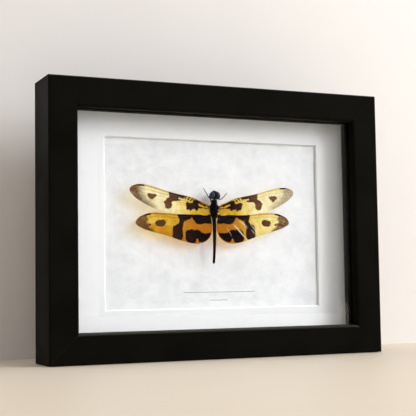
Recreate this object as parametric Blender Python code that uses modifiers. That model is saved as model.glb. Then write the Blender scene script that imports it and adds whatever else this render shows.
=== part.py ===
"""Framed dragonfly specimen, in metres, with +Z up.

A shallow black shadow frame stands on its bottom rail and faces -Y. Behind the glass, four
spacer strips hold a white window mat off the glass, and a spread dragonfly stands in front
of textured paper on a pin set in the mount board. A hardboard panel closes the back, held
by flat metal tabs, and a sawtooth hanger is nailed to the top rail.

The origin is on the ground, under the middle of the frame and half way through its depth.
Depths are counted from the frame's front face.
"""

import math

import bmesh
import bpy
from mathutils import Matrix, Vector

MM = 0.001
GAP = 0.3 * MM

# The moulding
FRAME_WIDTH = 156 * MM
FRAME_HEIGHT = 118 * MM
FRAME_DEPTH = 22 * MM
RAIL_FACE = 12.5 * MM
LIP_THICKNESS = 4 * MM
LIP_REACH = 5.5 * MM
FRONT_ARRIS = 0.7 * MM
INNER_ARRIS = 1.2 * MM
BACK_ARRIS = 0.5 * MM
LIP_ARRIS = 0.3 * MM
ARRIS_STEPS = 4

# What is stacked behind the lip, front to back
GLASS_THICKNESS = 2 * MM
SPACER_DEPTH = 4.9 * MM
MAT_THICKNESS = 0.8 * MM
PAPER_THICKNESS = 0.5 * MM
BOARD_THICKNESS = 3 * MM
PANEL_THICKNESS = 2.5 * MM
PANEL_ARRIS = 0.3 * MM
TAB_THICKNESS = 0.5 * MM

# The mat's window, measured in from the frame's outer edges to the front of the cut
MAT_LEFT = 27.0 * MM
MAT_RIGHT = 25.9 * MM
MAT_TOP = 22.6 * MM
MAT_BOTTOM = 21.2 * MM
MAT_BEVEL = 0.5 * MM

# Back fittings
TAB_WIDTH = 5 * MM
TAB_OUT = 8 * MM
TAB_IN = 3 * MM
TAB_SPREAD = 40 * MM
HANGER_LENGTH = 45 * MM
HANGER_HEIGHT = 6.5 * MM
HANGER_THICKNESS = 0.6 * MM
HANGER_TEETH = 9
HANGER_TOOTH = 1.2 * MM
HANGER_TOOTHED_SHARE = 0.62
HANGER_EDGE = 0.8 * MM
NAIL_INSET = 2.4 * MM
NAIL_SPREAD = 18.5 * MM
NAIL_SHANK = 0.6 * MM
NAIL_HEAD = 1.6 * MM
NAIL_HEAD_THICKNESS = 0.5 * MM
NAIL_LENGTH = 8 * MM

# The dragonfly. Its body runs along Z, and each pair of wings spreads to both sides of a line
# of its own, given by its X, its depth and how far it raises the outlines below
BODY_X = -1.5 * MM
FOREWING_LINE = (-1.7 * MM, 8.3 * MM, -0.3 * MM)
HINDWING_LINE = (-1.4 * MM, 8.9 * MM, 0.2 * MM)
WING_THICKNESS = 0.3 * MM
THORAX_DEPTH = 9.2 * MM
HEAD_DEPTH = 9.0 * MM
ABDOMEN_DEPTH = 9.0 * MM
THORAX_Z = 64.8 * MM
THORAX_HALF = Vector((1.95, 2.1, 4.1)) * MM
NECK_Z = 67.95 * MM
NECK_HALF = Vector((1.15, 1.3, 0.9)) * MM
HEAD_X = -1.05 * MM
FACE_Z = 71.1 * MM
FACE_HALF = Vector((1.5, 1.5, 1.8)) * MM
EYE_Z = 70.8 * MM
EYE_SPREAD = 1.25 * MM
EYE_HALF = Vector((1.25, 1.6, 1.6)) * MM
ABDOMEN_TOP = 60.4 * MM
ABDOMEN_LENGTH = 19.6 * MM
ABDOMEN_LEAN = math.radians(1.1)
ABDOMEN_SEGMENTS = 9
ABDOMEN_GROOVE = 0.06 * MM
ABDOMEN_END_RADIUS = 0.3 * MM
LEG_RADIUS = 0.17 * MM
LEG_TIP = 0.08 * MM
PIN_RADIUS = 0.35 * MM
PIN_SET = 2 * MM

# Wing outlines, out from the pair's line and up, in millimetres. They start at the root and
# run out along the leading edge, round the tip and back along the trailing edge
FOREWING = (
    (2.75, 65.9), (5.5, 67.6), (10.5, 69.7), (17.0, 71.05), (22.5, 72.3), (28.0, 73.9),
    (33.5, 75.0), (36.9, 74.7), (39.2, 72.9), (37.9, 70.6), (34.0, 67.8), (29.0, 65.35),
    (22.5, 63.3), (15.0, 62.5), (7.5, 62.5), (2.9, 62.8),
)
HINDWING = (
    (1.85, 61.6), (3.4, 62.05), (10.0, 62.15), (17.1, 62.2), (24.0, 62.8), (29.2, 63.0),
    (33.2, 62.1), (36.0, 60.4), (36.7, 58.6), (34.6, 56.9), (29.5, 55.1), (22.3, 53.1),
    (15.5, 50.8), (11.0, 49.65), (6.8, 49.6), (3.2, 51.4), (1.8, 54.1), (1.7, 58.3),
)
LEFT_HINDWING_DROOP = math.radians(1.2)
WING_CURVE_STEPS = 3

# Legs as (out from the body's line, depth, up) in millimetres. The forelegs reach past the
# head, and the others are folded under the thorax
LEFT_FORELEG = (
    (0.5, 10.2, 67.4), (0.9, 10.8, 69.3), (2.0, 10.5, 70.25), (2.9, 10.3, 71.7),
    (3.8, 10.1, 72.8), (4.5, 10.0, 73.9),
)
RIGHT_FORELEG = (
    (0.5, 10.2, 67.4), (1.6, 10.8, 69.2), (3.0, 10.8, 69.3), (4.3, 10.7, 69.3),
    (5.5, 10.4, 70.4), (6.3, 10.2, 71.3), (6.9, 10.0, 72.0),
)
MIDDLE_LEG = ((0.5, 10.6, 65.6), (1.3, 11.5, 66.4), (1.4, 11.9, 64.6), (0.8, 12.1, 62.9))
HIND_LEG = ((0.4, 10.5, 63.4), (1.1, 11.4, 64.0), (1.0, 11.9, 61.8), (0.4, 12.1, 60.2))

SIDE_ANGLES = {
    "bottom": 0.0,
    "left": math.pi / 2,
    "top": math.pi,
    "right": -math.pi / 2,
}


def clear_scene():
    """Remove every object that the startup file put in the scene."""
    for obj in list(bpy.data.objects):
        bpy.data.objects.remove(obj, do_unlink=True)


def new_collection(name):
    """Make a collection under the scene's own."""
    made = bpy.data.collections.new(name)
    bpy.context.scene.collection.children.link(made)
    return made


def layer_depths():
    """Depth of the front and back of each layer behind the lip, with a gap between layers."""
    thicknesses = {
        "glass": GLASS_THICKNESS,
        "spacer": SPACER_DEPTH,
        "mat": MAT_THICKNESS,
        "paper": PAPER_THICKNESS,
        "board": BOARD_THICKNESS,
        "panel": PANEL_THICKNESS,
        "tab": TAB_THICKNESS,
    }
    depths = {}
    front = LIP_THICKNESS + GAP
    for name, thickness in thicknesses.items():
        depths[name] = (front, front + thickness)
        front += thickness + GAP
    return depths


def y_at(depth):
    """The Y of a depth behind the frame's front face."""
    return depth - FRAME_DEPTH / 2


def side_span(side):
    """Half the distance from a rail's outer edge to the opposite one's, and half its length."""
    half_width = FRAME_WIDTH / 2
    half_height = FRAME_HEIGHT / 2
    if side in ("top", "bottom"):
        return half_height, half_width
    return half_width, half_height


def side_matrix(side, along=0.0, depth=0.0, inward=0.0):
    """Place a piece by a rail: local X runs along the rail, Y back and Z in from its outer edge."""
    centre = Matrix.Translation((0, 0, FRAME_HEIGHT / 2))
    turn = Matrix.Rotation(SIDE_ANGLES[side], 4, "Y")
    reach = side_span(side)[0]
    return centre @ turn @ Matrix.Translation((along, y_at(depth), inward - reach))


def principled(name, colour, roughness, metallic=0.0, alpha=1.0):
    """A plain material with a colour, a roughness and a metallic value."""
    material = bpy.data.materials.new(name)
    material.use_nodes = True
    shader = material.node_tree.nodes["Principled BSDF"]
    shader.inputs["Base Color"].default_value = (*colour, 1.0)
    shader.inputs["Roughness"].default_value = roughness
    shader.inputs["Metallic"].default_value = metallic
    shader.inputs["Alpha"].default_value = alpha
    material.diffuse_color = (*colour, alpha)
    return material


def add_object(name, data, matrix, material=None, helper=False):
    """Put a mesh or curve in the scene, in the collection for pieces or the one for cutters."""
    obj = bpy.data.objects.new(name, data)
    obj.matrix_world = matrix
    if material:
        data.materials.append(material)
    if helper:
        obj.hide_render = True
        obj.display_type = "WIRE"
        CUTTERS.objects.link(obj)
    else:
        PIECES.objects.link(obj)
    return obj


def mesh_from(name, bm):
    """Turn a finished bmesh into a mesh whose faces point out."""
    bmesh.ops.recalc_face_normals(bm, faces=bm.faces)
    mesh = bpy.data.meshes.new(name)
    bm.to_mesh(mesh)
    bm.free()
    return mesh


def box_mesh(name, size):
    """A box about its own centre."""
    bm = bmesh.new()
    bmesh.ops.create_cube(bm, size=1.0, matrix=Matrix.Diagonal((*size, 1.0)))
    return mesh_from(name, bm)


def add_slab(name, width, height, layer, material, centre=(0.0, None)):
    """A flat sheet that fills one layer of the stack, centred in the frame unless told."""
    front, back = DEPTHS[layer]
    x, z = centre[0], FRAME_HEIGHT / 2 if centre[1] is None else centre[1]
    place = Matrix.Translation((x, y_at((front + back) / 2), z))
    mesh = box_mesh(name, (width, back - front, height))
    return add_object(name, mesh, place, material)


def add_bevel(obj, width):
    """Ease an object's edges."""
    bevel = obj.modifiers.new("eased edges", "BEVEL")
    bevel.width = width
    bevel.segments = 1
    bevel.limit_method = "ANGLE"


def cut(obj, cutter, operation="DIFFERENCE"):
    """Cut one object with another, or join a helper to it."""
    boolean = obj.modifiers.new(cutter.name, "BOOLEAN")
    boolean.operation = operation
    boolean.object = cutter


def smooth(obj, angle=35.0):
    """Shade an object smooth, apart from its sharp edges."""
    obj.data.shade_smooth()
    obj.data.set_sharp_from_angle(angle=math.radians(angle))


def rounded_profile(corners):
    """A closed outline of right-angled corners, each given with the radius it is rounded to."""
    outline = []
    for index, (x, y, radius) in enumerate(corners):
        corner = Vector((x, y))
        before = (Vector(corners[index - 1][:2]) - corner).normalized()
        after = (Vector(corners[(index + 1) % len(corners)][:2]) - corner).normalized()
        if radius == 0:
            outline.append(corner)
            continue
        centre = corner + radius * (before + after)
        for step in range(ARRIS_STEPS + 1):
            turn = math.pi / 2 * step / ARRIS_STEPS
            outline.append(centre - radius * (after * math.cos(turn) + before * math.sin(turn)))
    return outline


def add_rail(side, material):
    """A length of moulding with its rebate behind the lip, mitred to 45 degrees at both ends."""
    wall = RAIL_FACE - LIP_REACH
    section = rounded_profile((
        (0.0, 0.0, FRONT_ARRIS),
        (RAIL_FACE, 0.0, INNER_ARRIS),
        (RAIL_FACE, LIP_THICKNESS, LIP_ARRIS),
        (wall, LIP_THICKNESS, 0.0),
        (wall, FRAME_DEPTH, BACK_ARRIS),
        (0.0, FRAME_DEPTH, BACK_ARRIS),
    ))
    bm = bmesh.new()
    face = bm.faces.new([bm.verts.new((-1.0, depth, inward)) for inward, depth in section])
    grown = bmesh.ops.extrude_face_region(bm, geom=[face])["geom"]
    ends = [item for item in grown if isinstance(item, bmesh.types.BMVert)]
    bmesh.ops.translate(bm, verts=ends, vec=(2.0, 0, 0))
    setback = GAP / math.sqrt(2)
    half_length = side_span(side)[1]
    for vert in bm.verts:
        vert.co.x = math.copysign(half_length - vert.co.z - setback, vert.co.x)
    name = f"rail_{side}"
    rail = add_object(name, mesh_from(name, bm), side_matrix(side), material)
    smooth(rail)
    return rail


def add_frame():
    """The four mitred rails."""
    black = principled("black_lacquered_wood", (0.012, 0.011, 0.009), 0.38)
    return {side: add_rail(side, black) for side in SIDE_ANGLES}


def add_glazing():
    """The glass pane and the four black strips that hold the mat off it."""
    clear = principled("clear_glass", (0.95, 0.97, 0.96), 0.03, alpha=0.15)
    black = principled("black_spacer", (0.01, 0.01, 0.009), 0.6)
    inside_width = FRAME_WIDTH - 2 * (RAIL_FACE - LIP_REACH) - 2 * GAP
    inside_height = FRAME_HEIGHT - 2 * (RAIL_FACE - LIP_REACH) - 2 * GAP
    add_slab("glass", inside_width, inside_height, "glass", clear)
    strip = LIP_REACH - GAP
    upright = inside_height - 2 * strip - 2 * GAP
    across = (inside_width - strip) / 2
    up = (inside_height - strip) / 2
    middle = FRAME_HEIGHT / 2
    add_slab("spacer_top", inside_width, strip, "spacer", black, (0, middle + up))
    add_slab("spacer_bottom", inside_width, strip, "spacer", black, (0, middle - up))
    add_slab("spacer_left", strip, upright, "spacer", black, (-across, middle))
    add_slab("spacer_right", strip, upright, "spacer", black, (across, middle))
    return inside_width, inside_height


def add_mat(width, height):
    """The white mat with its bevelled window, which lies a little off the frame's middle."""
    white = principled("white_mat", (0.9, 0.9, 0.89), 0.85)
    mat = add_slab("mat_board", width, height, "mat", white)
    left, right = MAT_LEFT - FRAME_WIDTH / 2, FRAME_WIDTH / 2 - MAT_RIGHT
    low, high = MAT_BOTTOM, FRAME_HEIGHT - MAT_TOP
    front, back = DEPTHS["mat"]
    slope = MAT_BEVEL / (back - front)
    over = GAP * slope
    bm = bmesh.new()
    bmesh.ops.create_cube(bm, size=2.0)
    for vert in bm.verts:
        in_front = vert.co.y < 0
        inset = -over if in_front else MAT_BEVEL + over
        half_x = (right - left) / 2 - inset
        half_z = (high - low) / 2 - inset
        depth = front - GAP if in_front else back + GAP
        vert.co = (vert.co.x * half_x, y_at(depth), vert.co.z * half_z)
    place = Matrix.Translation(((left + right) / 2, 0, (low + high) / 2))
    cut(mat, add_object("mat_window", mesh_from("mat_window", bm), place, helper=True))


def cylinder(name, radius, start, end, sides=16):
    """A straight round bar from one point to another, about its own middle."""
    run = Vector(end) - Vector(start)
    bm = bmesh.new()
    bmesh.ops.create_cone(
        bm, cap_ends=True, segments=sides, radius1=radius, radius2=radius, depth=run.length
    )
    turn = run.to_track_quat("Z", "Y").to_matrix().to_4x4()
    return mesh_from(name, bm), Matrix.Translation((Vector(start) + Vector(end)) / 2) @ turn


def add_backing(width, height):
    """The textured paper, the mount board and the pin that carries the specimen."""
    paper = principled("textured_paper", (0.84, 0.84, 0.83), 0.9)
    board = principled("mount_board", (0.8, 0.79, 0.76), 0.9)
    steel = principled("pin_steel", (0.35, 0.35, 0.36), 0.35, metallic=1.0)
    sheets = (
        add_slab("specimen_paper", width, height, "paper", paper),
        add_slab("mount_board", width, height, "board", board),
    )
    top = THORAX_DEPTH + THORAX_HALF.y + GAP
    foot = DEPTHS["board"][0] + PIN_SET
    start = (BODY_X, y_at(top), THORAX_Z)
    mesh, place = cylinder("pin", PIN_RADIUS, start, (BODY_X, y_at(foot), THORAX_Z), 12)
    smooth(add_object("pin", mesh, place, steel))
    end = (BODY_X, y_at(foot + GAP), THORAX_Z)
    mesh, place = cylinder("pin_hole", PIN_RADIUS + GAP, start, end, 12)
    hole = add_object("pin_hole", mesh, place, helper=True)
    for sheet in sheets:
        cut(sheet, hole)


def flat_curve(name, points, thickness, matrix, material, bezier_steps=0):
    """A flat plate from its outline. Local X and Y hold the outline and Z the thickness."""
    curve = bpy.data.curves.new(name, "CURVE")
    curve.dimensions = "2D"
    curve.fill_mode = "BOTH"
    curve.extrude = thickness / 2
    spline = curve.splines.new("BEZIER" if bezier_steps else "POLY")
    knots = spline.bezier_points if bezier_steps else spline.points
    knots.add(len(points) - 1)
    for knot, (x, y) in zip(knots, points):
        if bezier_steps:
            knot.co = (x, y, 0)
            knot.handle_left_type = "AUTO"
            knot.handle_right_type = "AUTO"
        else:
            knot.co = (x, y, 0, 1)
    spline.use_cyclic_u = True
    curve.resolution_u = bezier_steps or 1
    return add_object(name, curve, matrix, material)


def tab_outline():
    """A metal tab: a straight tongue with a round end, its foot outside the rebate wall."""
    half = TAB_WIDTH / 2
    outline = [(half, -TAB_IN), (half, TAB_OUT - half)]
    steps = 8
    for step in range(1, steps):
        turn = math.pi * step / steps
        outline.append((half * math.cos(turn), TAB_OUT - half + half * math.sin(turn)))
    return outline + [(-half, TAB_OUT - half), (-half, -TAB_IN)]


def add_back_fittings(rails, width, height):
    """The hardboard panel and the tabs driven into the rebate walls to hold it."""
    brown = principled("hardboard", (0.19, 0.11, 0.06), 0.8)
    zinc = principled("zinc_plated_steel", (0.55, 0.55, 0.53), 0.4, metallic=1.0)
    panel = add_slab("back_panel", width, height, "panel", brown)
    add_bevel(panel, PANEL_ARRIS)
    front, back = DEPTHS["tab"]
    wall = RAIL_FACE - LIP_REACH
    upright = Matrix.Rotation(math.pi / 2, 4, "X")
    slot_size = (TAB_WIDTH + 2 * GAP, back - front + 2 * GAP, 2 * (TAB_IN + GAP))
    places = (
        ("top", "_a", -TAB_SPREAD), ("top", "_b", TAB_SPREAD), ("bottom", "_a", -TAB_SPREAD),
        ("bottom", "_b", TAB_SPREAD), ("left", "", 0.0), ("right", "", 0.0),
    )
    for side, ending, along in places:
        name = f"tab_{side}{ending}"
        seat = side_matrix(side, along, (front + back) / 2, wall)
        flat_curve(name, tab_outline(), TAB_THICKNESS, seat @ upright, zinc)
        slot = add_object(f"slot_{name}", box_mesh(name, slot_size), seat, helper=True)
        cut(rails[side], slot)


def hanger_outline():
    """A sawtooth hanger: a straight strip whose lower edge is a row of teeth."""
    half = HANGER_LENGTH / 2
    toothed = HANGER_LENGTH * HANGER_TOOTHED_SHARE
    pitch = toothed / HANGER_TEETH
    outline = [(-half, 0.0), (-half, HANGER_HEIGHT), (-toothed / 2, HANGER_HEIGHT)]
    for tooth in range(HANGER_TEETH):
        start = -toothed / 2 + tooth * pitch
        outline.append((start + pitch / 2, HANGER_HEIGHT - HANGER_TOOTH))
        outline.append((start + pitch, HANGER_HEIGHT))
    return outline + [(half, HANGER_HEIGHT), (half, 0.0)]


def add_hanger(rail):
    """The sawtooth hanger on the back of the top rail, and the two nails that hold it."""
    brass = principled("brassed_steel", (0.6, 0.45, 0.2), 0.35, metallic=1.0)
    steel = principled("nail_steel", (0.5, 0.5, 0.48), 0.35, metallic=1.0)
    rear = FRAME_DEPTH + GAP + HANGER_THICKNESS
    seat = side_matrix("top", 0.0, rear - HANGER_THICKNESS / 2, HANGER_EDGE)
    upright = Matrix.Rotation(math.pi / 2, 4, "X")
    outline = flat_curve("hanger", hanger_outline(), HANGER_THICKNESS, seat @ upright, brass)
    hanger = curve_to_mesh(outline)
    height = HANGER_EDGE + NAIL_INSET
    along_y = Matrix.Rotation(-math.pi / 2, 4, "X")
    for name, along in (("nail_a", -NAIL_SPREAD), ("nail_b", NAIL_SPREAD)):
        place = side_matrix("top", along, 0.0, height) @ along_y
        profile = (
            (0.0, rear + GAP + NAIL_HEAD_THICKNESS),
            (NAIL_HEAD * 0.75, rear + GAP + NAIL_HEAD_THICKNESS * 0.8),
            (NAIL_HEAD, rear + GAP + NAIL_HEAD_THICKNESS * 0.3),
            (NAIL_HEAD, rear + GAP),
            (NAIL_SHANK, rear + GAP),
            (NAIL_SHANK, rear - NAIL_LENGTH + NAIL_SHANK),
            (0.0, rear - NAIL_LENGTH),
        )
        smooth(add_turned(name, profile, place, steel, 16))
        start, end = (0, 0, rear + GAP), (0, 0, rear - NAIL_LENGTH - GAP)
        mesh, middle = cylinder(f"hole_{name}", NAIL_SHANK + GAP, start, end)
        hole = add_object(f"hole_{name}", mesh, place @ middle, helper=True)
        cut(hanger, hole)
        cut(rail, hole)


def curve_to_mesh(obj):
    """Replace a curve object by the mesh it makes, with its caps welded on."""
    bpy.context.view_layer.update()
    graph = bpy.context.evaluated_depsgraph_get()
    mesh = bpy.data.meshes.new_from_object(obj.evaluated_get(graph))
    bm = bmesh.new()
    bm.from_mesh(mesh)
    bmesh.ops.remove_doubles(bm, verts=bm.verts, dist=0.001 * MM)
    bmesh.ops.recalc_face_normals(bm, faces=bm.faces)
    bm.to_mesh(mesh)
    bm.free()
    name, matrix, helper = obj.name, obj.matrix_world.copy(), obj.hide_render
    bpy.data.objects.remove(obj, do_unlink=True)
    mesh.name = name
    return add_object(name, mesh, matrix, helper=helper)


def add_turned(name, profile, place, material, steps):
    """A turned piece. The profile is (radius, height along the axis), top to bottom."""
    bm = bmesh.new()
    verts = [bm.verts.new((radius, 0, height)) for radius, height in profile]
    for upper, lower in zip(verts, verts[1:]):
        bm.edges.new((upper, lower))
    mesh = bpy.data.meshes.new(name)
    bm.to_mesh(mesh)
    bm.free()
    turned = add_object(name, mesh, place, material)
    screw = turned.modifiers.new("turn", "SCREW")
    screw.steps = steps
    screw.render_steps = steps
    screw.use_merge_vertices = True
    screw.merge_threshold = 0.001 * MM
    return turned


def ellipsoid(name, centre, half_sizes, material=None, helper=False, segments=18):
    """A round body whose poles lie on its long Z axis."""
    bm = bmesh.new()
    bmesh.ops.create_uvsphere(
        bm, u_segments=segments, v_segments=segments // 2 + 1, radius=1.0,
        matrix=Matrix.Diagonal((*half_sizes, 1.0)),
    )
    obj = add_object(name, mesh_from(name, bm), Matrix.Translation(centre), material, helper)
    smooth(obj)
    return obj


def add_head(cuticle):
    """The head: a round face with a large compound eye on each side of it."""
    y = y_at(HEAD_DEPTH)
    head = ellipsoid("head", (HEAD_X, y, FACE_Z), FACE_HALF, cuticle)
    for name, side in (("eye_left", -1), ("eye_right", 1)):
        centre = (HEAD_X + side * EYE_SPREAD, y, EYE_Z)
        cut(head, ellipsoid(name, centre, EYE_HALF, helper=True), "UNION")


def leg_helper(name, route, side):
    """One leg as a thin tapering tube, to be joined to the thorax."""
    curve = bpy.data.curves.new(name, "CURVE")
    curve.dimensions = "3D"
    curve.bevel_depth = LEG_RADIUS
    curve.bevel_resolution = 1
    curve.use_fill_caps = True
    spline = curve.splines.new("POLY")
    spline.points.add(len(route) - 1)
    for index, (point, (out, depth, up)) in enumerate(zip(spline.points, route)):
        point.co = (BODY_X + side * out * MM, y_at(depth * MM), up * MM, 1)
        share = index / (len(route) - 1)
        point.radius = 1 + share * (LEG_TIP / LEG_RADIUS - 1)
    return curve_to_mesh(add_object(name, curve, Matrix(), helper=True))


def add_thorax(cuticle):
    """The thorax with its neck and six legs, joined in one body."""
    centre = (BODY_X, y_at(THORAX_DEPTH), THORAX_Z)
    thorax = ellipsoid("thorax", centre, THORAX_HALF, cuticle, segments=20)
    neck = (BODY_X, y_at(HEAD_DEPTH), NECK_Z)
    cut(thorax, ellipsoid("neck", neck, NECK_HALF, helper=True, segments=12), "UNION")
    for side_name, side, foreleg in (("left", -1, LEFT_FORELEG), ("right", 1, RIGHT_FORELEG)):
        legs = {"foreleg": foreleg, "middle_leg": MIDDLE_LEG, "hind_leg": HIND_LEG}
        for name, route in legs.items():
            cut(thorax, leg_helper(f"{name}_{side_name}", route, side), "UNION")


def abdomen_radius(share):
    """Radius along the abdomen: swollen at the base, then ever slimmer towards the end."""
    slimming = 0.54 + 0.36 * math.exp(-(share / 0.6) ** 2)
    base = 0.15 * math.exp(-(share / 0.04) ** 2)
    return (slimming + base) * MM


def add_abdomen(cuticle):
    """The abdomen: a slim turned body whose segments meet in shallow grooves."""
    profile = [(0.0, 0.0)]
    for segment in range(ABDOMEN_SEGMENTS):
        for within, sunk in ((0.04, 1), (0.3, 0), (0.8, 0)):
            share = (segment + within) / ABDOMEN_SEGMENTS
            radius = abdomen_radius(share) - sunk * ABDOMEN_GROOVE
            profile.append((radius, -share * ABDOMEN_LENGTH))
    profile.append((ABDOMEN_END_RADIUS, -0.985 * ABDOMEN_LENGTH))
    profile.append((0.0, -ABDOMEN_LENGTH))
    place = Matrix.Translation((BODY_X, y_at(ABDOMEN_DEPTH), ABDOMEN_TOP))
    lean = Matrix.Rotation(ABDOMEN_LEAN, 4, "Y")
    smooth(add_turned("abdomen", profile, place @ lean, cuticle, 14))


def add_wing(name, outline, side, line, droop, membrane):
    """One wing as a thin plate beside its pair's line, turned about its root by its droop."""
    x, depth, rise = line
    points = [(side * out * MM, up * MM) for out, up in outline]
    root = Vector((points[0][0], points[0][1], 0))
    turn = Matrix.Rotation(side * -droop, 4, "Z")
    swung = [turn @ (Vector((*point, 0)) - root) + root for point in points]
    upright = Matrix.Rotation(math.pi / 2, 4, "X")
    place = Matrix.Translation((x, y_at(depth), rise)) @ upright
    flat = [(point.x, point.y) for point in swung]
    flat_curve(name, flat, WING_THICKNESS, place, membrane, WING_CURVE_STEPS)


def add_dragonfly():
    """The specimen: head, thorax, abdomen and four spread wings."""
    cuticle = principled("black_cuticle", (0.008, 0.008, 0.01), 0.3)
    membrane = principled("amber_membrane", (0.72, 0.5, 0.14), 0.35, alpha=0.9)
    add_head(cuticle)
    add_thorax(cuticle)
    add_abdomen(cuticle)
    for side_name, side, droop in (("left", -1, LEFT_HINDWING_DROOP), ("right", 1, 0.0)):
        add_wing(f"forewing_{side_name}", FOREWING, side, FOREWING_LINE, 0.0, membrane)
        add_wing(f"hindwing_{side_name}", HINDWING, side, HINDWING_LINE, droop, membrane)


def main():
    """Build the frame from the outside in, then the specimen."""
    rails = add_frame()
    width, height = add_glazing()
    add_mat(width, height)
    add_backing(width, height)
    add_back_fittings(rails, width, height)
    add_hanger(rails["top"])
    add_dragonfly()


clear_scene()
PIECES = new_collection("framed_dragonfly_specimen")
CUTTERS = new_collection("cutters")
DEPTHS = layer_depths()
main()
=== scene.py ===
"""Framed dragonfly specimen: the finish of every piece, with its shelf, wall, light and camera.

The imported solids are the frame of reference. The glass, mat, boards, tabs, hanger, nails and pin
keep their solids and take better finishes. The mouldings, the paper and the dragonfly are
surfaces worked out here in place of theirs.

Sizes in the classes are millimetres. X runs across, depth counts back from the frame's front
face, and up counts from the shelf. Meshes are written in metres.
"""

import logging
import math
from dataclasses import dataclass, field
from enum import Enum

import bmesh
import bpy
import numpy as np
from mathutils import Matrix, Vector


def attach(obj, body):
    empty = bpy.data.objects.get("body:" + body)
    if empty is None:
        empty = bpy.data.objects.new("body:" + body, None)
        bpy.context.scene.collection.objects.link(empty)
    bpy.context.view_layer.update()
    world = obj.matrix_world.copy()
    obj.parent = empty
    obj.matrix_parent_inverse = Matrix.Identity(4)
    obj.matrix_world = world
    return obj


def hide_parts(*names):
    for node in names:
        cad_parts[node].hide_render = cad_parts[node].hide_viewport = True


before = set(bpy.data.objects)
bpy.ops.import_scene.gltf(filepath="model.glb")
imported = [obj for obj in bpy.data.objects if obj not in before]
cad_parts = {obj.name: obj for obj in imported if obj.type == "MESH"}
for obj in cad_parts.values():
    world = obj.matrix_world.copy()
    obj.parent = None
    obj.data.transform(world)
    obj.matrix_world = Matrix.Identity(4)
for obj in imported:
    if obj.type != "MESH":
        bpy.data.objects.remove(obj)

LOG = logging.getLogger("framed_dragonfly")
MM = 0.001
FRAME_WIDTH = 156.0
FRAME_HEIGHT = 118.0
FRAME_DEPTH = 22.0
BODY_X = -1.5
HANDLE_DIVISOR = 2.5614


class Side(Enum):
    """The side of the body that a wing or leg is on, as a sign for X."""

    LEFT = -1
    RIGHT = 1


class Rail(Enum):
    """The four mouldings, each with the direction that it faces outwards in X and Z."""

    TOP = (0, 1)
    BOTTOM = (0, -1)
    LEFT = (-1, 0)
    RIGHT = (1, 0)


def srgb(red: float, green: float, blue: float) -> tuple[float, float, float, float]:
    """Turn a colour as the eye reads it, 0 to 255, into linear light.

    Args:
        red, green, blue: Display values from 0 to 255.

    Returns:
        Linear red, green, blue and an alpha of 1.
    """
    values = np.array([red, green, blue]) / 255
    linear = np.where(values <= 0.04045, values / 12.92, ((values + 0.055) / 1.055) ** 2.4)
    return (*linear.tolist(), 1.0)


def smooth_step(values: np.ndarray, low: float, high: float) -> np.ndarray:
    """Rise smoothly from 0 at low to 1 at high: t * t * (3 - 2 t).

    Args:
        values: Where to work it out.
        low: The value where the rise starts.
        high: The value where it ends.

    Returns:
        The share from 0 to 1.
    """
    share = np.clip((values - low) / (high - low), 0, 1)
    return share * share * (3 - 2 * share)


def unit(vectors: np.ndarray) -> np.ndarray:
    """Vectors scaled to length 1."""
    return vectors / np.linalg.norm(vectors, axis=-1, keepdims=True)


def place(x: np.ndarray, depth: np.ndarray, up: np.ndarray) -> np.ndarray:
    """Points from their X, depth behind the frame's front face, and height.

    Args:
        x: Across the frame.
        depth: Back from the front face.
        up: Above the shelf.

    Returns:
        An array of points, X, Y and Z, in millimetres.
    """
    return np.stack(np.broadcast_arrays(x, depth - FRAME_DEPTH / 2, up), axis=-1)


def smooth_noise(x: np.ndarray, y: np.ndarray, cell: float, seed: int) -> np.ndarray:
    """Smooth noise: random values on a lattice, blended between corners by smooth steps.

    Args:
        x, y: Where to work it out.
        cell: The lattice's pitch.
        seed: Which lattice.

    Returns:
        Values from -1 to 1.
    """
    lattice = np.random.default_rng(seed).uniform(-1, 1, (64, 64))
    column, row = x / cell, y / cell
    left, low = np.floor(column).astype(int), np.floor(row).astype(int)
    across, rise = smooth_step(column - left, 0, 1), smooth_step(row - low, 0, 1)
    corner = [lattice[(low + i) % 64, (left + j) % 64] for i in (0, 1) for j in (0, 1)]
    lower = corner[0] + across * (corner[1] - corner[0])
    upper = corner[2] + across * (corner[3] - corner[2])
    return lower + rise * (upper - lower)


def soft_loop(corners: tuple, steps: int = 8) -> np.ndarray:
    """A closed smooth curve through points, each with a handle before it and one after it.

    Each point's tangent is the mean of the directions to its two neighbours, and its handles
    are their distances divided by 2.5614. Between points the curve is a cubic Bezier.

    Args:
        corners: The points that the curve goes through.
        steps: How many pieces each stretch between two points is cut in.

    Returns:
        The curve's points, in order, without the first one again at the end.
    """
    points = np.array(corners, float)
    back, ahead = points - np.roll(points, 1, 0), np.roll(points, -1, 0) - points
    tangent = unit(unit(back) + unit(ahead))
    before = points - tangent * np.linalg.norm(back, axis=1)[:, None] / HANDLE_DIVISOR
    after = points + tangent * np.linalg.norm(ahead, axis=1)[:, None] / HANDLE_DIVISOR
    t = (np.arange(steps) / steps)[None, :, None]
    ends = [points, after, np.roll(before, -1, 0), np.roll(points, -1, 0)]
    weights = [(1 - t) ** 3, 3 * t * (1 - t) ** 2, 3 * t * t * (1 - t), t**3]
    return sum(w * end[:, None] for w, end in zip(weights, ends)).reshape(-1, 2)


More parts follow.
